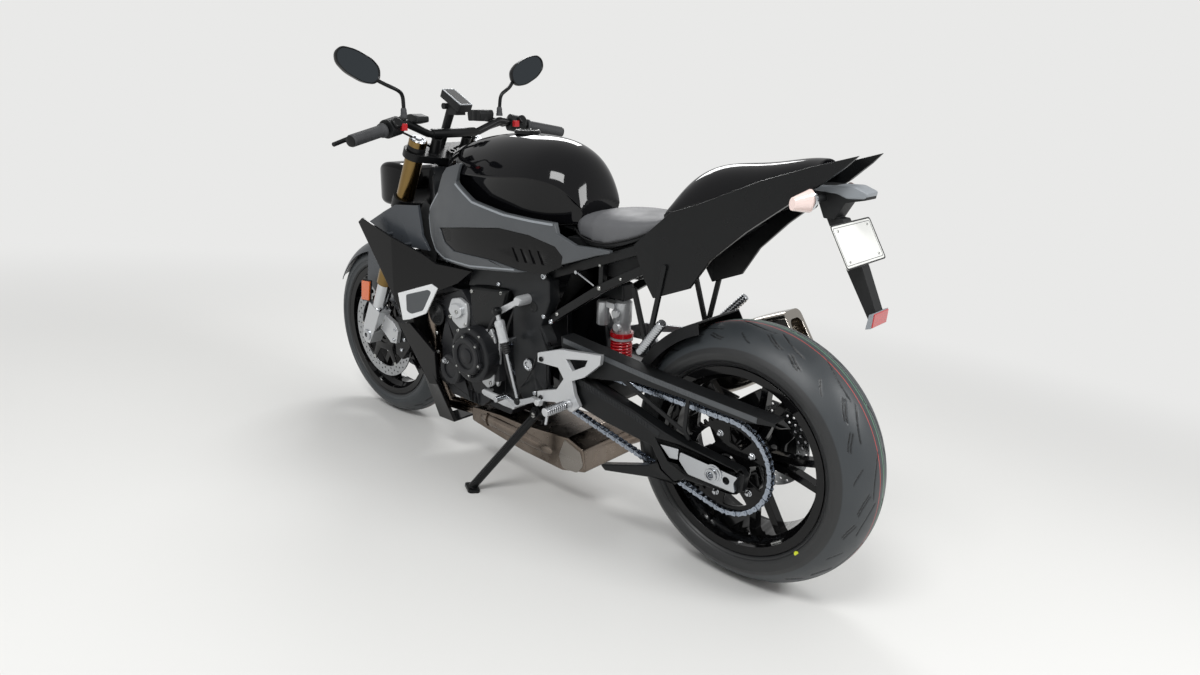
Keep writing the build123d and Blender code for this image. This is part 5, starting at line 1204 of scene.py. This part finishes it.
def head_ring(share, depth):
    """Outline of the mirror head, shrunk and set back"""
    return [mirror_at + mirror_right * x * share + mirror_rise * z * share - mirror_out * depth
            for x, z in rounded(head_outline, 26, 4)]


head = lofted([head_ring(0.9, 5), head_ring(0.93, 1.5), head_ring(0.955, 0), head_ring(0.99, 1.2), head_ring(1, 6),
    head_ring(0.97, 15),
               head_ring(0.85, 26), head_ring(0.6, 33)])
face = lofted([head_ring(0.925, 4.5), head_ring(0.925, 3.2)])
stem_line = [(1110, 178, 1034), (1109, 178, 1070), (1107, 182, 1098), (1104, 200, 1110), (1112, 224, 1120), (1130,
    252, 1136), (1142, 276, 1152)]
sealed("mirror_heads", mesh_of("mirror_heads", mirrored([head])), satin_black, "steering",
    ("mirrors",), smooth=40)
sealed("mirror_faces", mesh_of("mirror_faces", mirrored([face])), mirror_face, "steering",
    smooth=30)
for hand, label in ((1, "left"), (-1, "right")):
    line = [(x, y * hand, z) for x, y, z in stem_line]
    stem = tube("stem", line, 5.5, steps=10)
    boot = mesh_of("boot", [turned([(5, 0), (10, 0), (10, 7), (8.6, 9), (9.2, 12), (8.2, 16), (8.6, 20), (7, 26),
        (5.5, 27)],
                                   line[0], (0, 0, 1), 24)])
    sealed("mirror_stem_" + label, stem, black_coat, "steering", smooth=60)
    sealed("mirror_boot_" + label, boot, grip_rubber, "steering", smooth=50)

# Places on a CAD node's left side, found by a ray from outside
side_trees = {}


def side_y(name, x, z):
    """Outermost y of a CAD node at an upright x and z on the left, or None"""
    if name not in side_trees:
        mesh = frame["nodes"][name].data
        side_trees[name] = BVHTree.FromPolygons([UPRIGHT @ v.co for v in mesh.vertices],
            [list(p.vertices) for p in mesh.polygons])
    hit = side_trees[name].ray_cast(Vector((x, 400, z)), Vector((0, -1, 0)))[0]
    return hit.y if hit else None


def side_strip(name, line, low, high, lift=0.7):
    """Raised strip on a node's side, between two distances below a line of (x, z) points"""
    fine = []
    for (x0, z0), (x1, z1) in zip(line, line[1:]):
        count = max(int(hypot(x1 - x0, z1 - z0) / 9), 1)
        fine += [(x0 + (x1 - x0) * k / count, z0 + (z1 - z0) * k / count) for k in range(count)]
    fine.append(line[-1])
    rings = []
    for i, (x, z) in enumerate(fine):
        before, after = fine[max(i - 1, 0)], fine[min(i + 1, len(fine) - 1)]
        along = Vector((after[0] - before[0], after[1] - before[1])).normalized()
        inward = Vector((along.y, -along.x))
        near, far = Vector((x, z)) + inward * low, Vector((x, z)) + inward * high
        ys = [side_y(name, *near), side_y(name, *far)]
        if None in ys:
            continue
        rings.append([(near.x, ys[0] - 1, near.y), (near.x, ys[0] + lift, near.y), (far.x, ys[1] + lift, far.y),
                      (far.x, ys[1] - 1, far.y)])
    return lofted(rings)


# Side mouldings: lighter strips along the upper edge, painted highlights on the chamfers, and dotted ends of the gloss
# inserts
trim_line = [(916, 873), (830, 834), (706, 816), (609, 812), (536, 812)]
front_line = [(1008, 835), (1068, 772), (1051, 700), (1024, 662), (972, 645), (846, 645), (657, 667), (578, 687)]
# Pale grey strips on the trims: painted highlight
trim_highlight_strips = [side_strip("tank_side_trims", trim_line[::-1], 2.5, 8),
          side_strip("tank_side_trims", front_line, 2.5, 7, 0.6)]
sealed("trim_bevels", mesh_of("trim_bevels", mirrored(trim_highlight_strips)), grey_panel, "root", smooth=30)
speck = stock("speck", mesh_of("speck", [turned([(0, -1), (5, -1), (4, 1.6), (0, 2.4)], (0, 0, 0), (0, 0, 1), 6)]))
dots = []
for x0, x1, z0, z1 in ((930, 978, 706, 740), (520, 566, 700, 742)):
    for i in range(12):
        for j in range(8):
            x = x0 + (x1 - x0) * (i + 0.5 * (j % 2)) / 12
            z = z0 + (z1 - z0) * j / 8
            y = side_y("tank_side_inserts", x, z)
            if y:
                dots += [((x, hand * y, z), (0, hand, 0), 0.24) for hand in (1, -1)]
sealed("insert_dots", at_spots("insert_dots", speck, dots, satin_black), satin_black, "root")


# Ribbed pads along the top edge of the swing arm, in the frame's lighter coat as a painted highlight
arm_line = [(160, 372), (246, 396), (345, 415), (408, 429), (486, 437)]
# Lighter than the arm itself: painted highlight over the ribs
arm_bands = [side_strip("swingarm", arm_line, 3, 19, 1.0)]
for i in range(26):
    share = i / 25
    x = 200 + 240 * share
    z = 383 + 46 * share if x < 246 else 396 + (x - 246) * 0.19
    y = side_y("swingarm", x, z - 10)
    if y:
        arm_bands.append(round_bar((x + 2, y + 0.9, z - 3.5), (x - 2, y + 0.9, z - 17), 1.1))
sealed("arm_bands", mesh_of("arm_bands", mirrored(arm_bands)), powder_coat, "root", smooth=30)
# Grey ribbed band along the chain guard's top edge: a painted highlight over the black guard
guard_bands = [side_strip("rear_guards", [(-112, 476), (60, 484.5), (203, 492), (360, 505.8), (500, 518.1)], 1.5,
    15, 1.0)]
for i in range(44):
    x = 80 + 400 * i / 43
    z = 485.4 + (x - 80) * 0.0535 if x < 203 else 492 + (x - 203) * 0.088
    y = side_y("rear_guards", x, z - 8)
    if y:
        guard_bands.append(round_bar((x + 1.5, y + 0.9, z - 3), (x - 1.5, y + 0.9, z - 13), 1.1))
sealed("guard_bands", mesh_of("guard_bands", guard_bands), satin_grey, "root", smooth=30)


# Fixings of the frame, subframe and hangers
def seated(rows, names):
    """Screw rows on both sides, each on the outermost of some CAD nodes at its place"""
    made = []
    for x, z, radius in rows:
        ys = [y for y in (side_y(name, x, z) for name in names) if y]
        made += [(x, hand * max(ys), z, radius) for hand in (1, -1) if ys]
    return made


carriers = ("frame", "subframe", "engine_block", "foot_rests")
fixings("frame_bolts", seated([(570, 541, 8.5), (580, 556, 7), (580, 665, 9), (757, 610, 7), (1105, 700, 8), (612,
    330, 7)], carriers),
        "root", milled_alloy)
fixings("subframe_bolts", seated([(403, 664, 6), (403, 722, 4), (263, 784, 5), (548, 566, 6), (222, 758, 6), (335,
    700, 4)], carriers),
        "root", zinc_steel)
fixings("hanger_bolts", seated([(545, 456, 7), (545, 348, 7)], carriers), "root", black_coat)
pivot = [turned([(8, 0), (17, 0), (17, 2.5), (14, 4.5), (9.5, 4.5), (8, 2)], (635, hand * 140.6, 408), (0, hand, 0),
    40, True)
         for hand in (1, -1)]
pivot += [turned([(0, 0), (7.8, 0), (7.8, 1.5), (0, 1.5)], (635, hand * 140.6, 408), (0, hand, 0),
    6) for hand in (1, -1)]
sealed("pivot_caps", mesh_of("pivot_caps", pivot), milled_alloy, "root", smooth=30)
plugs = [turned([(0, 0), (14, 0), (14, 1.6), (12.5, 2.6), (9, 2.6), (8, 1.2), (0, 1.2)], (619, hand * 135.8, 573),
    (0, hand, 0), 32)
         for hand in (1, -1)]
sealed("frame_plugs", mesh_of("frame_plugs", plugs), black_pp, "root", smooth=30)
tie = [round_bar((478, 121, 692), (418, 121, 668), 2.6), round_bar((478, 118, 692), (478, 126, 692), 4.6)]
sealed("subframe_ties", mesh_of("subframe_ties", mirrored(tie)), milled_alloy, "root", smooth=40)

# Engine: castings, cover rings and bolts, ribbed round horn
castings = [outline_plate("casting", [rounded(points, 6, 3)], low, high, 2.5, 3) for points, low, high in (
    ([(806, 470), (770, 484), (752, 452), (756, 380), (762, 316), (786, 300), (812, 312), (800, 360)], 146, 158),
    ([(952, 512), (940, 536), (905, 545), (872, 532), (868, 500), (872, 462), (905, 452), (940, 470)], 146, 160),
    ([(944, 505), (934, 522), (908, 528), (886, 518), (884, 498), (908, 482), (932, 488)], 158, 170),
    ([(750, 470), (742, 440), (744, 330), (752, 310), (758, 320), (758, 460)], 140, 151))]
sealed("side_castings", joined("side_castings", castings), silver_enamel, "root", smooth=30)
cast_right = [outline_plate("casting", [rounded(points, 8, 3)], low, high, 2.5, 3) for points, low, high in (
    ([(1004, 452), (996, 520), (960, 552), (900, 548), (876, 520), (884, 478), (930, 446)], -160, -146),
    ([(742, 480), (730, 440), (736, 330), (760, 300), (790, 310), (782, 470)], -158, -146))]
sealed("side_castings_right", joined("side_castings_right", cast_right), cast_alloy, "root",
    smooth=30)
shield = [(866, 586), (700, 604), (716, 560), (746, 500), (776, 478), (830, 474), (858, 500)]
sealed("engine_shields", mesh_of("engine_shields", mirrored([lofted([[(x + dx, y, z + dz) for (x, z), dx,
    dz in zip(shield, push_x, push_z)]
       for y, push_x, push_z in ((138, [0] * 7, [0] * 7), (150, [0] * 7, [0] * 7), (156, [-8, 8, 6, 6, 3, -3, -8],
           [-6, -6, 0, 3, 6, 6, 2]))])])),
       satin_black, "root", bevel=2.0)
ring_left = [turned([(38, 0), (38, 5), (41, 7), (50, 7), (54, 4), (54, 0)], (820, 204.4, 400), (0, 1, 0), 64, True),
             turned([(0, 0), (22, 0), (22, 3), (19, 5), (0, 5)], (820, 204.6, 400), (0, 1, 0), 40),
             turned([(26, 0), (26, 4), (29, 5.5), (42, 5.5), (45, 3), (45, 0)], (936, 171.6, 322), (0, 1, 0), 48,
             True),
             turned([(60, 0), (60, 3), (63, 4.6), (75, 4.6), (79, 2), (79, 0)], (820, 191.6, 400), (0, 1, 0), 64,
             True)]
ring_left += [turned([(0, 0), (9, 0), (9, 7), (7.5, 8.5), (0, 8.5)], (820 + 56 * cos(a), 199.5, 400 + 56 * sin(a)),
    (0, 1, 0), 20)
              for a in [tau * k / 6 + 0.3 for k in range(6)]]
sealed("cover_rings", mesh_of("cover_rings", ring_left), engine_coat, "root", smooth=35)
ring_right = [turned([(44, 0), (44, 4), (48, 6), (62, 6), (66, 3), (66, 0)], (826, -203.6, 372), (0, -1, 0), 64,
    True),
              turned([(26, 0), (26, 4), (29, 5.5), (40, 5.5), (43, 3), (43, 0)], (936, -171.6, 322), (0, -1, 0), 48,
              True)]
sealed("cover_rings_right", mesh_of("cover_rings_right", ring_right), engine_coat, "root",
    smooth=35)
cover_rows = [(x, max(side_y("engine_covers", x, z) or 0, 150), z, 5.5) for x, z in (
    (895, 327), (845, 322), (801, 338), (762, 372), (752, 412), (780, 462), (820, 474), (870, 462), (895, 430),
        (930, 360), (972, 340),
    (936, 282), (904, 300), (975, 310))]
cover_rows += [(820 + 56 * cos(a), 208, 400 + 56 * sin(a), 3.6) for a in [tau * k / 6 + 0.3 for k in range(6)]]
cover_rows += [(826 + 84 * cos(a), -190, 372 + 84 * sin(a), 5) for a in [tau * k / 10 for k in range(10)]]
cover_rows += [(x, y, z, 6) for x, y, z in ((905, 170, 505), (948, 158, 480), (880, 158, 470), (764, 158, 460),
    (772, 158, 320),
                                             (1022, 150, 350), (1026, 150, 410), (850, 156, 575), (730, 152, 592))]
fixings("engine_bolts", cover_rows, "root", zinc_steel)
fixings("cap_bolt", [(955, 172.4, 346, 10)], "root", milled_alloy, dome)
horn_profile = [(0, 0), (36, 0), (36, 3), (33, 5)] + [p for r in range(30, 6, -6) for p in ((r, 5), (r - 2, 8),
    (r - 4, 5))] + [(0, 6)]
sealed("horn", mesh_of("horn", [turned(horn_profile, (1016, 156, 474), (0, 1, 0), 48), round_bar((1016, 140, 474),
    (1016, 158, 474), 12)]),
       black_pp, "root", smooth=40)


# Hoses and cables, each fixed at both ends
def hose(name, points, radius, material=hose_rubber, body="root"):
    """Hose or cable whose ends go into their fittings"""
    return sealed(name, tube(name, points, radius, steps=8), material, body, smooth=60)


hose("coolant_hose_low", [(1100, 118, 330), (1086, 140, 322), (1060, 150, 300), (1010, 148, 276), (980, 140, 262)],
    13)
hose("coolant_hose_top", [(1112, -120, 560), (1080, -140, 560), (1050, -140, 540), (1010, -120, 540), (990, -100,
    560)], 14)
hose("breather_hose", [(745, 120, 552), (742, 146, 540), (762, 160, 505), (778, 156, 478), (790, 148, 452)], 5)
hose("wiring_left", [(700, 128, 300), (704, 140, 330), (722, 150, 400), (724, 146, 470), (716, 120, 540), (720, 90,
    580)], 4.5)
hose("sensor_lead", [(600, 139, 452), (604, 146, 420), (628, 150, 370), (660, 146, 338), (690, 120, 320)], 2.2)
hose("rear_brake_hose", [(552, -150, 380), (530, -160, 400), (440, -124, 442), (300, -128, 424), (180, -124, 396),
    (110, -96, 400)], 3.2)
for label, hand in (("", 1), ("_right", -1)):
    hose("front_brake_hose" + label, [tuple(on_steering(up, fore, hand * side)) for up, fore, side in (
        (300, 20, 66), (380, 74, 70), (560, 84, 60), (760, 66, 46), (838, 60, 20))], 3.2, body="steering")
hose("throttle_cable", [(1090, -196, 1016), (1120, -170, 1002), (1140, -110, 980), (1136, -60, 950),
    tuple(on_steering(1004, 40, -30))], 3.2,
     body="steering")
hose("clutch_cable", [(1132, 206, 1004), (1150, 170, 996), (1158, 110, 972), (1142, 60, 944),
    tuple(on_steering(1004, 40, 30))], 3.2,
     body="steering")

# Gear linkage: rod, bellows, pale cylinder, ball joint and top lever
rod_from, rod_way = Vector((622, 190, 318)), Vector((54, 0, 152)).normalized()
at_rod = lambda reach: rod_from + rod_way * reach
bellow = [(5.4, 0)]
for k in range(5):
    bellow += [(8.5 + k * 0.6, 2 + k * 6), (11 + k * 0.5, 5 + k * 6)]
bellow += [(12, 33), (0, 33)]
sealed("shifter_bellows", mesh_of("shifter_bellows", [turned([(0, 0)] + bellow, at_rod(132), rod_way, 24)]),
    hose_rubber, "root",
       smooth=40)
sealed("shifter_cylinder", mesh_of("shifter_cylinder", [turned([(0, 0), (14.5, 0), (14.5, 8), (13.5, 9), (13.5, 44),
    (14.5, 45), (14.5, 56), (11, 61),
                                                              (6, 62), (6, 76), (0, 76)], at_rod(164), rod_way,
                                                              32)]),
       silver_enamel, "root", smooth=30)
tip = at_rod(250)
sealed("shifter_joint", mesh_of("shifter_joint", [
    turned([(0, -12), (8, -12), (11, -8), (12, 0), (11, 8), (8, 12), (0, 12)], tip, (0, 1, 0), 24),
    turned([(0, -9), (7, -9), (10, -5), (10, 5), (7, 9), (0, 9)], (622, 190, 318), (0, 1, 0), 24)]), black_coat,
    "root",
       smooth=60)
lever_plate = outline_plate("lever", [rounded([(tip.x - 4, tip.z + 11), (tip.x + 8, tip.z - 2), (tip.x - 2,
    tip.z - 10), (640, 582),
                                               (628, 590), (632, 604)], 5, 3)], 170, 178, 2, 2)
boss = mesh_of("boss", [turned([(0, 0), (14, 0), (14, 36), (11, 43), (0, 43)], (640, 136, 592), (0, 1, 0), 32)])
sealed("shifter_lever", joined("shifter_lever", [lever_plate, boss]), silver_enamel, "root",
    smooth=35)
gear_arm = outline_plate("arm", [rounded([(790, 302), (788, 284), (700, 276), (656, 278), (644, 290), (656, 302),
    (700, 300)], 5, 3)], 166, 174, 2, 2)
sealed("gear_arm", joined("gear_arm", [gear_arm, mesh_of("pin", [round_bar((788, 140, 292), (788, 172, 292), 7),
                                                                  round_bar((656, 138, 290), (656, 180, 290),
                                                                  9)])]),
       silver_enamel, "root", smooth=35)

# Rests: grooved pegs with their feelers
peg_from, peg_to = Vector((441, 178, 362)), Vector((446, 262, 360))
peg_way = (peg_to - peg_from).normalized()
peg_profile = [(0, 14), (11, 14), (12.4, 16), (12.4, 20)]
for at in range(24, 80, 7):
    peg_profile += [(11.2, at), (12.4, at + 1.5), (12.4, at + 4.5), (11.2, at + 6)]
peg_profile += [(11.2, 82), (9, 84), (0, 84)]
pegs = [turned(peg_profile, peg_from, peg_way, 28), round_bar((445.5, 252, 352), (447, 256, 326), 4, 3.4)]
rear_from, rear_to = Vector((240, 150, 547)), Vector((161, 172, 640))
rear_way = (rear_to - rear_from).normalized()
rear_profile = [(0, 0), (11, 0), (11.6, 3)]
for at in range(14, 112, 8):
    rear_profile += [(10, at), (11.4, at + 2), (11.4, at + 5), (10, at + 7)]
rear_profile += [(10, 120), (8, 123), (0, 123)]
pegs.append(turned(rear_profile, rear_from, rear_way, 24))
sealed("peg_sleeves", mesh_of("peg_sleeves", mirrored(pegs)), milled_alloy, "root", smooth=40)

# Shock absorber: silver body with knobs over a red spring
coil = [(424 + 26 * cos(tau * k / 12), 26 * sin(tau * k / 12), 450 + 46 * k / 66) for k in range(67)]
sealed("shock_spring", tube("coil", coil, 4.4, steps=6), red_enamel, "root", ("shock_absorber",),
    smooth=60)
shock = [turned([(0, 426.8), (17, 426.8), (17, 444), (27, 446), (30, 450), (27, 452), (9, 453), (9, 498), (25, 499),
    (30, 502), (30, 508), (25, 510),
                 (25, 516), (23, 518), (23, 548), (25, 551), (25, 604), (18, 610.6), (0, 610.6)], (424, 0, 0), (0,
                 0, 1), 48),
         turned([(0, 0), (15, 0), (17, 3), (17, 62), (14, 66), (0, 66)], (466, 30, 540), (0, 0, 1), 40),
         block((424, 4, 590), (470, 36, 604)),
         turned([(0, 0), (13, 0), (13, 6), (10, 9), (0, 9)], (424, 24, 575), (0, 1, 0), 28),
         turned([(0, 0), (13, 0), (13, 6), (10, 9), (0, 9)], (418, 24, 540), (0, 1, 0), 28)]
sealed("shock_body", mesh_of("shock_body", shock), silver_enamel, "root", smooth=35)
sealed("shock_collar", mesh_of("shock_collar", [turned([(25.2, 510), (31, 510), (31, 522), (25.2, 522)], (424, 0,
    0), (0, 0, 1), 40, True),
                                                turned([(9, 500), (29, 499), (30.4, 500), (30.4, 501), (9, 501)],
                                                (424, 0, 0), (0, 0, 1), 40, True)]),
       red_enamel, "root", smooth=35)

# White lower panels with a bare grey field, and the front lamps
field = [(1096, 525), (1012, 553), (1000, 548), (1034, 486), (1078, 468), (1096, 474)]
field_rings = []
for x, z in rounded(field, 6, 3):
    y = side_y("shroud_panels", x, z)
    if y:
        field_rings.append((x, y, z))
if len(field_rings) > 5:
    low = [(x, y - 0.6, z) for x, y, z in field_rings]
    high = [(x, y + 0.8, z) for x, y, z in field_rings]
    sealed("panel_fields", mesh_of("panel_fields", mirrored([lofted([low, high])])), satin_grey, "root",
        smooth=20)
lenses = [turned([(0, 0), (24, 0), (22, 5), (14, 9), (0, 11)], (1392, hand * 38, 812), (1, 0, 0),
    40) for hand in (1, -1)]
sealed("headlight_lenses", mesh_of("headlight_lenses", lenses), clear_lens, "steering", smooth=40)
bezels = [turned([(24.2, 0), (26.6, 0), (26.6, 9), (24.2, 7)], (1392, hand * 38, 812), (1, 0, 0), 40,
    True) for hand in (1, -1)]
sealed("headlight_bezels", mesh_of("headlight_bezels", bezels), hard_chrome, "steering", smooth=40)

# Fork caps, axle nuts, pinch bolts, calipers' bolts and the amber reflectors
caps, nuts = [], []
fork_top = max((UPRIGHT @ v.co - on_steering(0)).dot(UP_FORK) for v in frame["nodes"]["fork_tubes"].data.vertices)
for hand in (1, -1):
    top = on_steering(fork_top, FORK_OFFSET, hand * FORK_SPREAD)
    caps.append(turned([(22.6, -13), (25, -13), (26, -11), (26, 0), (23, 3.5), (15, 3.5), (14, 1.5), (10, 1.5),
        (9.4, 6), (0, 6)], top,
                       UP_FORK, 40))
    nuts.append(turned([(8, 0), (19, 0), (19, 4), (15, 6), (8, 6)], FRONT_AXLE + Vector((0, hand * 127.8, 0)), (0,
        hand, 0), 32, True))
FEET = lambda fore, up, side: tuple(FRONT_AXLE + AHEAD_FORK * fore + UP_FORK * up + Vector((0, side, 0)))
fixings("pinch_bolts", [(*FEET(fore, up, hand * 100), 4.5, tuple(-AHEAD_FORK)) for fore, up in ((-31, 78),
    (-30, 50)) for hand in (1, -1)],
        "steering")
fixings("caliper_bolts", [(*FEET(fore, up, hand * 100.4), 6) for fore, up in ((-98, 88), (-104, 50)) for hand in (1,
    -1)]
        + [(*FEET(fore, up, hand * 84.4), 7) for fore, up in ((-122, 110), (-136, 70), (-136, 26)) for hand in (1,
            -1)],
        "steering", milled_alloy)
sealed("axle_nuts", mesh_of("axle_nuts", nuts), milled_alloy, "steering", smooth=30)
sealed("fork_caps", mesh_of("fork_caps", caps), milled_alloy, "steering", smooth=30)
amber = [[(x, y, z) for x, z in ((1500, 476), (1452, 480), (1464, 412), (1508, 408))] for y in (100, 106)]
sealed("amber_reflectors", mesh_of("amber_reflectors", mirrored([lofted(amber)])), amber_lens, "steering",
    bevel=1.5)
amber_back = [[(x, y, z) for x, z in ((1503, 480), (1449, 484), (1461, 408), (1511, 404))] for y in (96, 101)]
stays = [round_bar((1470, 84, 440), (1470, 98, 440), 7)]
sealed("reflector_backs", mesh_of("reflector_backs", mirrored([lofted(amber_back)] + stays)), black_pp, "steering",
    bevel=0.8)

# Bar fittings: reservoirs, switch caps and buttons
right_box = [(1116, 1020), (1174, 1016), (1178, 1040), (1170, 1050), (1118, 1052), (1112, 1042)]
sealed("brake_reservoir", outline_plate("box", [rounded(right_box, 4, 3)], -158, -104, 2.5, 3), black_pp,
    "steering", smooth=35)
cover = [(1086, 1022), (1128, 1014), (1172, 1018), (1176, 1034), (1120, 1044), (1086, 1038)]
sealed("left_reservoir", outline_plate("cover", [rounded(cover, 4, 3)], 108, 152, 4, 3), black_pp, "steering",
    smooth=35)
switches = [turned([(0, 0), (15, 0), (15, 26), (12, 30), (0, 30)], bar_from + bar_way * 60 + Vector((-6, 0, 4)),
    (-0.9, 0, 0.42), 20),
            block(tuple(bar_from + bar_way * 40 + Vector((-24, 0, -16))),
            tuple(bar_from + bar_way * 80 + Vector((8, 0, 22))))]
sealed("switch_caps", mesh_of("switch_caps", mirrored(switches)), satin_black, "steering",
    bevel=3.0)
buttons = [block((1062, 200, 1002), (1074, 219, 1021))]
sealed("red_buttons", mesh_of("red_buttons", mirrored(buttons)), button_red, "steering", bevel=1.5)

# Inner panels behind the side covers, and rounded runs along the collector
inner = [(1112, 752), (1118, 700), (1106, 640), (1040, 606), (1016, 700), (1050, 786), (1080, 806)]
sealed("inner_panels", joined("inner_panels", [outline_plate("inner", [rounded(inner, 8, 3)], low, high, 0.8, 2)
                                               for low, high in ((137, 140), (-140, -137))]), black_pp, "root",
                                                   smooth=30)
runs = [tube("run", [(945, 60, 158), (910, 74, 162), (860, 84, 165), (720, 84, 160), (600, 82, 152), (560, 74, 150),
    (535, 62, 150)], 1,
             steps=16, radii=[8, 18, 25, 26, 25, 18, 8]),
        tube("run", [(940, 20, 164), (800, 30, 172), (700, 30, 172), (560, 30, 172)], 27, steps=16)]
seams = [mesh_of("seams", [turned([(23, -2), (27.4, -1.4), (27.4, 1.4), (23, 2)], (x, y, z), (1, 0, 0.036), 28,
    True)
                           for x, y, z in ((855, 84, 164.8), (720, 84, 160))])]
sealed("collector_runs", joined("collector_runs", runs + seams), heated_steel, "root", smooth=60)
fixings("stand_bolt", [(597, side_y("side_stand", 597, 275) or 150, 275, 9)], "root", zinc_steel, hexagon)

# Light-topped hanger head and the exhaust's bright plate
head_cap = [(-84, 966), (-186, 971.5), (-215, 961), (-212, 948), (-172, 944), (-150, 952), (-84, 954)]
sealed("hanger_cap", outline_plate("cap", [rounded(head_cap, 5, 3)], -26, 26, 4, 3), grey_panel, "root",
    smooth=40)
heel = [(530, 206), (470, 186), (458, 150), (480, 122), (536, 116), (552, 150)]
sealed("collector_plate", outline_plate("plate", [rounded(heel, 8, 3)], 99, 101.5, 1.0, 2), brushed_steel, "root",
    smooth=30)


# Floor, backdrop and soft lamps

def add_studio():
    """Pale floor that keeps the shadow, a plain pale world and three soft lamps"""
    bpy.ops.mesh.primitive_circle_add(vertices=96, radius=40, fill_type="NGON", location=(0, 0, 0))
    floor = bpy.context.object
    floor.name = "floor"
    surface = bpy.data.materials.new("pale_floor")
    surface.use_nodes = True
    shader = surface.node_tree.nodes["Principled BSDF"]
    shader.inputs["Base Color"].default_value = colour("DEDEDC")
    shader.inputs["Roughness"].default_value = 0.7
    around = node(surface.node_tree, "ShaderNodeTexCoord").outputs["Object"]
    away = node(surface.node_tree, "ShaderNodeVectorMath", {"operation": "LENGTH"}, i0=around).outputs["Value"]
    fade = node(surface.node_tree, "ShaderNodeMapRange", {"interpolation_type": "SMOOTHSTEP"}, Value=away,
        From_Min=1.5,
                From_Max=4.6)
    glow = node(surface.node_tree, "ShaderNodeEmission", Color=colour("E9E9E8"), Strength=1.0)
    ground = node(surface.node_tree, "ShaderNodeMixShader", i0=fade.outputs["Result"], i1=shader.outputs["BSDF"],
                  i2=glow.outputs["Emission"])
    surface.node_tree.links.new(ground.outputs["Shader"], surface.node_tree.nodes["Material Output"].inputs["Surface"])
    floor.data.materials.append(surface)
    world = bpy.data.worlds.new("studio_world")
    world.use_nodes = True
    bpy.context.scene.world = world
    tree = world.node_tree
    tree.nodes.clear()
    path = node(tree, "ShaderNodeLightPath")
    seen = node(tree, "ShaderNodeMath", {"operation": "MAXIMUM"}, i0=path.outputs["Is Camera Ray"],
                i1=path.outputs["Is Transmission Ray"])
    soft = node(tree, "ShaderNodeBackground", Color=(1, 1, 1, 1), Strength=0.55)
    pale = node(tree, "ShaderNodeBackground", Color=colour("E9E9E8"), Strength=1.0)
    blend = node(tree, "ShaderNodeMixShader", i0=seen.outputs["Value"], i1=soft.outputs["Background"],
                 i2=pale.outputs["Background"])
    node(tree, "ShaderNodeOutputWorld", Surface=blend.outputs["Shader"])
    for name, place, aim, size, power in (
            ("key_lamp", (-1.2, 2.6, 3.4), (0, 0, 0.5), 1.6, 90),
            ("side_lamp", (-3.4, -0.6, 2.6), (-0.4, 0, 0.4), 1.4, 55),
            ("far_lamp", (2.6, -2.4, 3.2), (0.2, 0, 0.5), 1.8, 60)):
        data = bpy.data.lights.new(name, "AREA")
        data.shape = "RECTANGLE"
        data.size = size
        data.size_y = size * 0.6
        data.energy = power
        lamp = bpy.data.objects.new(name, data)
        lamp.location = place
        lamp.rotation_euler = (Vector(aim) - Vector(place)).to_track_quat("-Z", "Y").to_euler()
        bpy.context.scene.collection.objects.link(lamp)


add_studio()
bpy.context.scene.view_settings.view_transform = "Standard"
